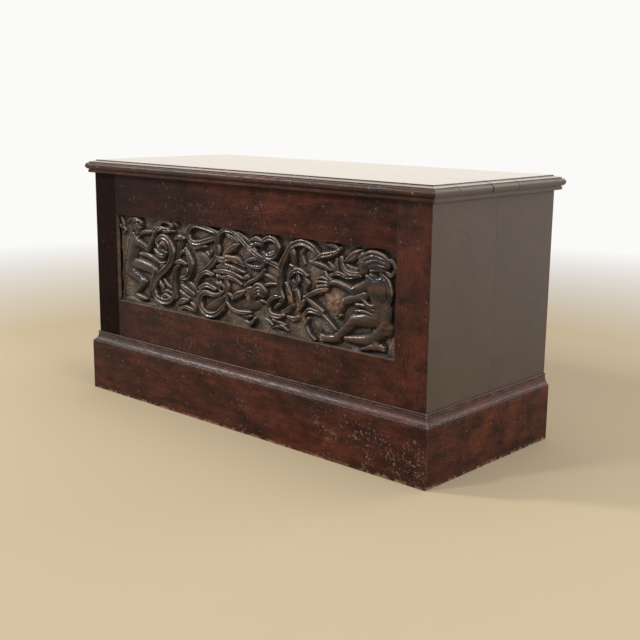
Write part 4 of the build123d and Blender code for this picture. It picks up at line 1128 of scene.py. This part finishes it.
def makeCarvedPanel():
    bpy.ops.object.select_all(action="DESELECT")
    rows, columns = carved.shape
    bpy.ops.mesh.primitive_grid_add(x_subdivisions=columns - 1, y_subdivisions=rows - 1, size=1)
    panel = bpy.context.object
    panel.name = "carved_panel_cut"
    points = np.stack([placeX, groundY - carved, placeZ], -1).reshape(-1, 3) * mm
    panel.data.vertices.foreach_set("co", points.astype(np.float32).ravel())
    keepPointValues(panel.data)
    panel.data.update()
    pick(panel)
    bpy.ops.object.shade_smooth()
    closePanel()
    panel.data.materials.append(carvedWood)
    panel.data.materials.append(innerWood)
    for face in panel.data.polygons:
        if face.normal.y > 0.9:
            face.material_index = 1
    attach(panel, "case")
    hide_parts("carved_panel")


makeCarvedPanel()
print("carved panel made")

# Boards, with their arrises eased
boards = {
    # body and slot: node: (finish, width of the eased edge)
    ("case", "dark_walnut"): {
        "front_stile_left": (leftPost, 0.5),
        "front_stile_right": (framePost, 0.5),
        "front_rail_top": (headRail, 0.5),
        "front_rail_bottom": (lowRail, 0.5),
        "side_board_left_front": (sideWood, 0.8),
        "side_board_left_rear": (sideWood, 0.8),
        "side_board_right_front": (sideWood, 0.8),
        "side_board_right_rear": (sideWood, 0.8),
        "plinth_front": (footRail, 1.6),
        "plinth_left": (footSide, 1.6),
        "plinth_right": (footSide, 1.6),
        "plinth_cap_front": (capRail, 0.5),
        "plinth_cap_left": (capSide, 0.5),
        "plinth_cap_right": (capSide, 0.5),
    },
    ("lid", "lid_walnut"): {
        "lid_board_front": (lidWood, 0.3),
        "lid_board_front_middle": (lidWood, 0.3),
        "lid_board_rear_middle": (lidWood, 0.3),
        "lid_board_rear": (lidWood, 0.3),
    },
    ("lid", "dark_walnut"): {
        "lid_band_front": (frameRail, 0.4),
        "lid_band_left": (bandSide, 0.4),
        "lid_band_right": (bandSide, 0.4),
    },
    ("case", "inner_softwood"): {
        "back_board_top": (innerWood, 1.8),
        "back_board_middle": (innerDark, 1.8),
        "back_board_bottom": (innerPale, 1.8),
        "bottom_board_front": (innerWood, 1.0),
        "bottom_board_middle": (innerDark, 1.0),
        "bottom_board_rear": (innerPale, 1.0),
        "bottom_ledger_front": (innerWood, 1.0),
        "bottom_ledger_back": (innerWood, 1.0),
        "bottom_ledger_left": (innerCross, 1.0),
        "bottom_ledger_right": (innerCross, 1.0),
    },
    ("lid", "inner_softwood"): {
        "lid_batten_left": (innerCross, 1.2),
        "lid_batten_right": (innerCross, 1.2),
    },
}

# How a board's edges are eased
easedEdge = {
    "merge": 0.005,  # points closer than this become one
    "flatAngle": 1.5,  # faces closer than this in angle become one
    "edgeAngle": 32,
    "smoothAngle": 31,
    "segments": 2,
}

# The lid's joints have opened at the right end
openJoints = {
    # the board behind each joint, and how far the joint has opened
    "strength": {
        "lid_board_front_middle": 1.0,
        "lid_board_rear_middle": 1.7,
        "lid_board_rear": 0.9,
    },
    # distance from the lid's end, width of the gap, how far it wanders
    "steps": [(95, 0, 0), (70, 0.8, 0.3), (48, 1.2, -0.5), (30, 1.4, 0.5), (14, 1.7, -0.4), (0, 2.2, 0.3)],
}


def openJoint(piece, y, strength, side):
    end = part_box("lid_board_front")[1].x
    pick(piece)
    bpy.ops.object.mode_set(mode="EDIT")
    for distance, gap, wander in openJoints["steps"][:-1]:
        bpy.ops.mesh.select_all(action="SELECT")
        bpy.ops.mesh.bisect(plane_co=(end - distance * mm, 0, 0), plane_no=(1, 0, 0))
    bpy.ops.object.mode_set(mode="OBJECT")
    distances, gaps, wanders = np.array(openJoints["steps"][::-1]).T
    for vertex in piece.data.vertices:
        if abs(vertex.co.y - y) > 0.05 * mm:
            continue
        distance = (end - vertex.co.x) / mm
        gap = np.interp(distance, distances, gaps)
        wander = np.interp(distance, distances, wanders)
        vertex.co.y += strength * (side * gap / 2 + wander) * mm


def openJointsOf(piece, node):
    low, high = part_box(node)
    order = list(boards["lid", "lid_walnut"])
    place = order.index(node)
    strength = openJoints["strength"]
    if place > 0:
        openJoint(piece, low.y, strength[node], 1)
    if place + 1 < len(order):
        openJoint(piece, high.y, strength[order[place + 1]], -1)


def easeBoard(node, finish, body, width):
    piece = bpy.data.objects.new(node + "_eased", nodes[node].data.copy())
    bpy.context.scene.collection.objects.link(piece)
    pick(piece)
    bpy.ops.object.mode_set(mode="EDIT")
    bpy.ops.mesh.select_all(action="SELECT")
    bpy.ops.mesh.remove_doubles(threshold=easedEdge["merge"] * mm)
    bpy.ops.mesh.dissolve_limited(angle_limit=math.radians(easedEdge["flatAngle"]))
    bpy.ops.object.mode_set(mode="OBJECT")
    if node.startswith("lid_board"):
        openJointsOf(piece, node)
    edge = piece.modifiers.new("easedEdge", "BEVEL")
    edge.width = width * mm
    edge.segments = easedEdge["segments"]
    edge.limit_method = "ANGLE"
    edge.angle_limit = math.radians(easedEdge["edgeAngle"])
    edge.use_clamp_overlap = True
    edge.miter_outer = "MITER_ARC"
    applyAll(piece)
    bpy.ops.object.shade_smooth_by_angle(angle=math.radians(easedEdge["smoothAngle"]))
    # the flats stay flat, and only the eased edges turn
    flats = piece.modifiers.new("flatFaces", "WEIGHTED_NORMAL")
    flats.weight = 100
    flats.keep_sharp = True
    applyAll(piece)
    piece.data.materials.clear()
    piece.data.materials.append(finish)
    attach(piece, body)
    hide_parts(node)
    return piece


# dust, and painted light: the faces round the inside of the opening get a pale finish where they would
# stand in shade
def finishReveal(piece):
    piece.data.materials.append(revealDustAndLight)
    for face in piece.data.polygons:
        place = face.center / mm
        inWidth = abs(place.x) < panelEnd + 1
        inHeight = railHead - 1 < place.z < railFoot + 1
        if inWidth and inHeight and abs(face.normal.y) < 0.5 and place.y < groundY:
            face.material_index = 1


# the faces towards the inside of the case stay bare
def finishInside(piece, finish):
    piece.data.materials.append(finish)
    last = len(piece.data.materials) - 1
    for face in piece.data.polygons:
        inward = face.normal.y if abs(face.center.x) < panelEnd * mm else 0
        if piece.name.startswith("side_board"):
            inward = -face.normal.x if face.center.x > 0 else face.normal.x
        elif piece.name.startswith("front_stile"):
            inward = face.normal.y
        if inward > 0.9:
            face.material_index = last


# painted light and shade: by the way each face turns, the top faces get the bright polished field, the
# long edges a darker finish and the ends the greyer side finish; the underside gets its own
def finishLid(piece):
    for finish in (lidEdge, lidEnd, lidUnder):
        piece.data.materials.append(finish)
    for face in piece.data.polygons:
        if face.normal.z > 0.9:
            face.material_index = 0
        elif face.normal.z < -0.9:
            face.material_index = 3
        else:
            face.material_index = 2 if abs(face.normal.x) > abs(face.normal.y) else 1


for (body, slotName), group in boards.items():
    for node, (finish, width) in group.items():
        board = easeBoard(node, finish, body, width)
        if finish == lidWood:
            finishLid(board)
        if node.startswith(("front_rail", "front_stile")):
            finishReveal(board)
            finishInside(board, innerWood if "rail" in node else innerPost)
        if node.startswith("side_board"):
            finishInside(board, innerPost)
print("boards eased")

# Slotted screws that hold the hinges
screw = {
    "headWidth": 6.6,
    "footWidth": 3.5,
    "depth": 2.3,
    "sides": 24,
    "sunk": 0.12,  # below the leaf's face
    "slotLength": 12,
    "slotWidth": 0.9,
    "slotDepth": 0.7,
    "spacing": 30,
    "fromEdge": 8,  # from the leaf's front edge
    "turns": {"case": [20, 75, 140], "lid": [50, 110, 5]},
}


def makeScrew(name, place, way, turn, body):
    bpy.ops.object.select_all(action="DESELECT")
    x, y, z = place
    middle = z - way * (screw["sunk"] + screw["depth"] / 2) * mm
    widths = (screw["footWidth"] / 2 * mm, screw["headWidth"] / 2 * mm)
    foot, head = widths if way > 0 else widths[::-1]
    bpy.ops.mesh.primitive_cone_add(
        vertices=screw["sides"],
        radius1=foot,
        radius2=head,
        depth=screw["depth"] * mm,
        location=(x, y, middle),
    )
    piece = bpy.context.object
    piece.name = name
    bpy.ops.object.transform_apply(location=True)
    bpy.ops.mesh.primitive_cube_add(size=1, location=(x, y, z - way * screw["sunk"] * mm))
    slot = bpy.context.object
    slot.scale = (screw["slotLength"] * mm, screw["slotWidth"] * mm, 2 * screw["slotDepth"] * mm)
    slot.rotation_euler = (0, 0, math.radians(turn))
    bpy.ops.object.transform_apply(location=True, rotation=True, scale=True)
    cut = piece.modifiers.new("slot", "BOOLEAN")
    cut.operation = "DIFFERENCE"
    cut.object = slot
    applyAll(piece)
    bpy.data.objects.remove(slot)
    bpy.ops.object.shade_smooth_by_angle(angle=math.radians(35))
    piece.data.materials.append(iron)
    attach(piece, body)


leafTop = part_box("front_stile_right")[1].z
for end in ("left", "right"):
    low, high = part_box(f"hinge_case_leaf_{end}")
    for body, way in (("case", 1), ("lid", -1)):
        for hole, turn in enumerate(screw["turns"][body]):
            x = (low.x + high.x) / 2 + (hole - 1) * screw["spacing"] * mm
            place = (x, low.y + screw["fromEdge"] * mm, leafTop)
            makeScrew(f"hinge_screw_{body}_{end}_{hole + 1}", place, way, turn, body)
print("hinge screws made")

# What keeps its own shape
eased = [node for group in boards.values() for node in group]
for node, piece in nodes.items():
    if node in eased or node == "carved_panel":
        continue
    isIron = "hinge" in node or "nail" in node
    piece.data.materials.clear()
    piece.data.materials.append(iron if isIron else innerPost)
print("fittings finished")
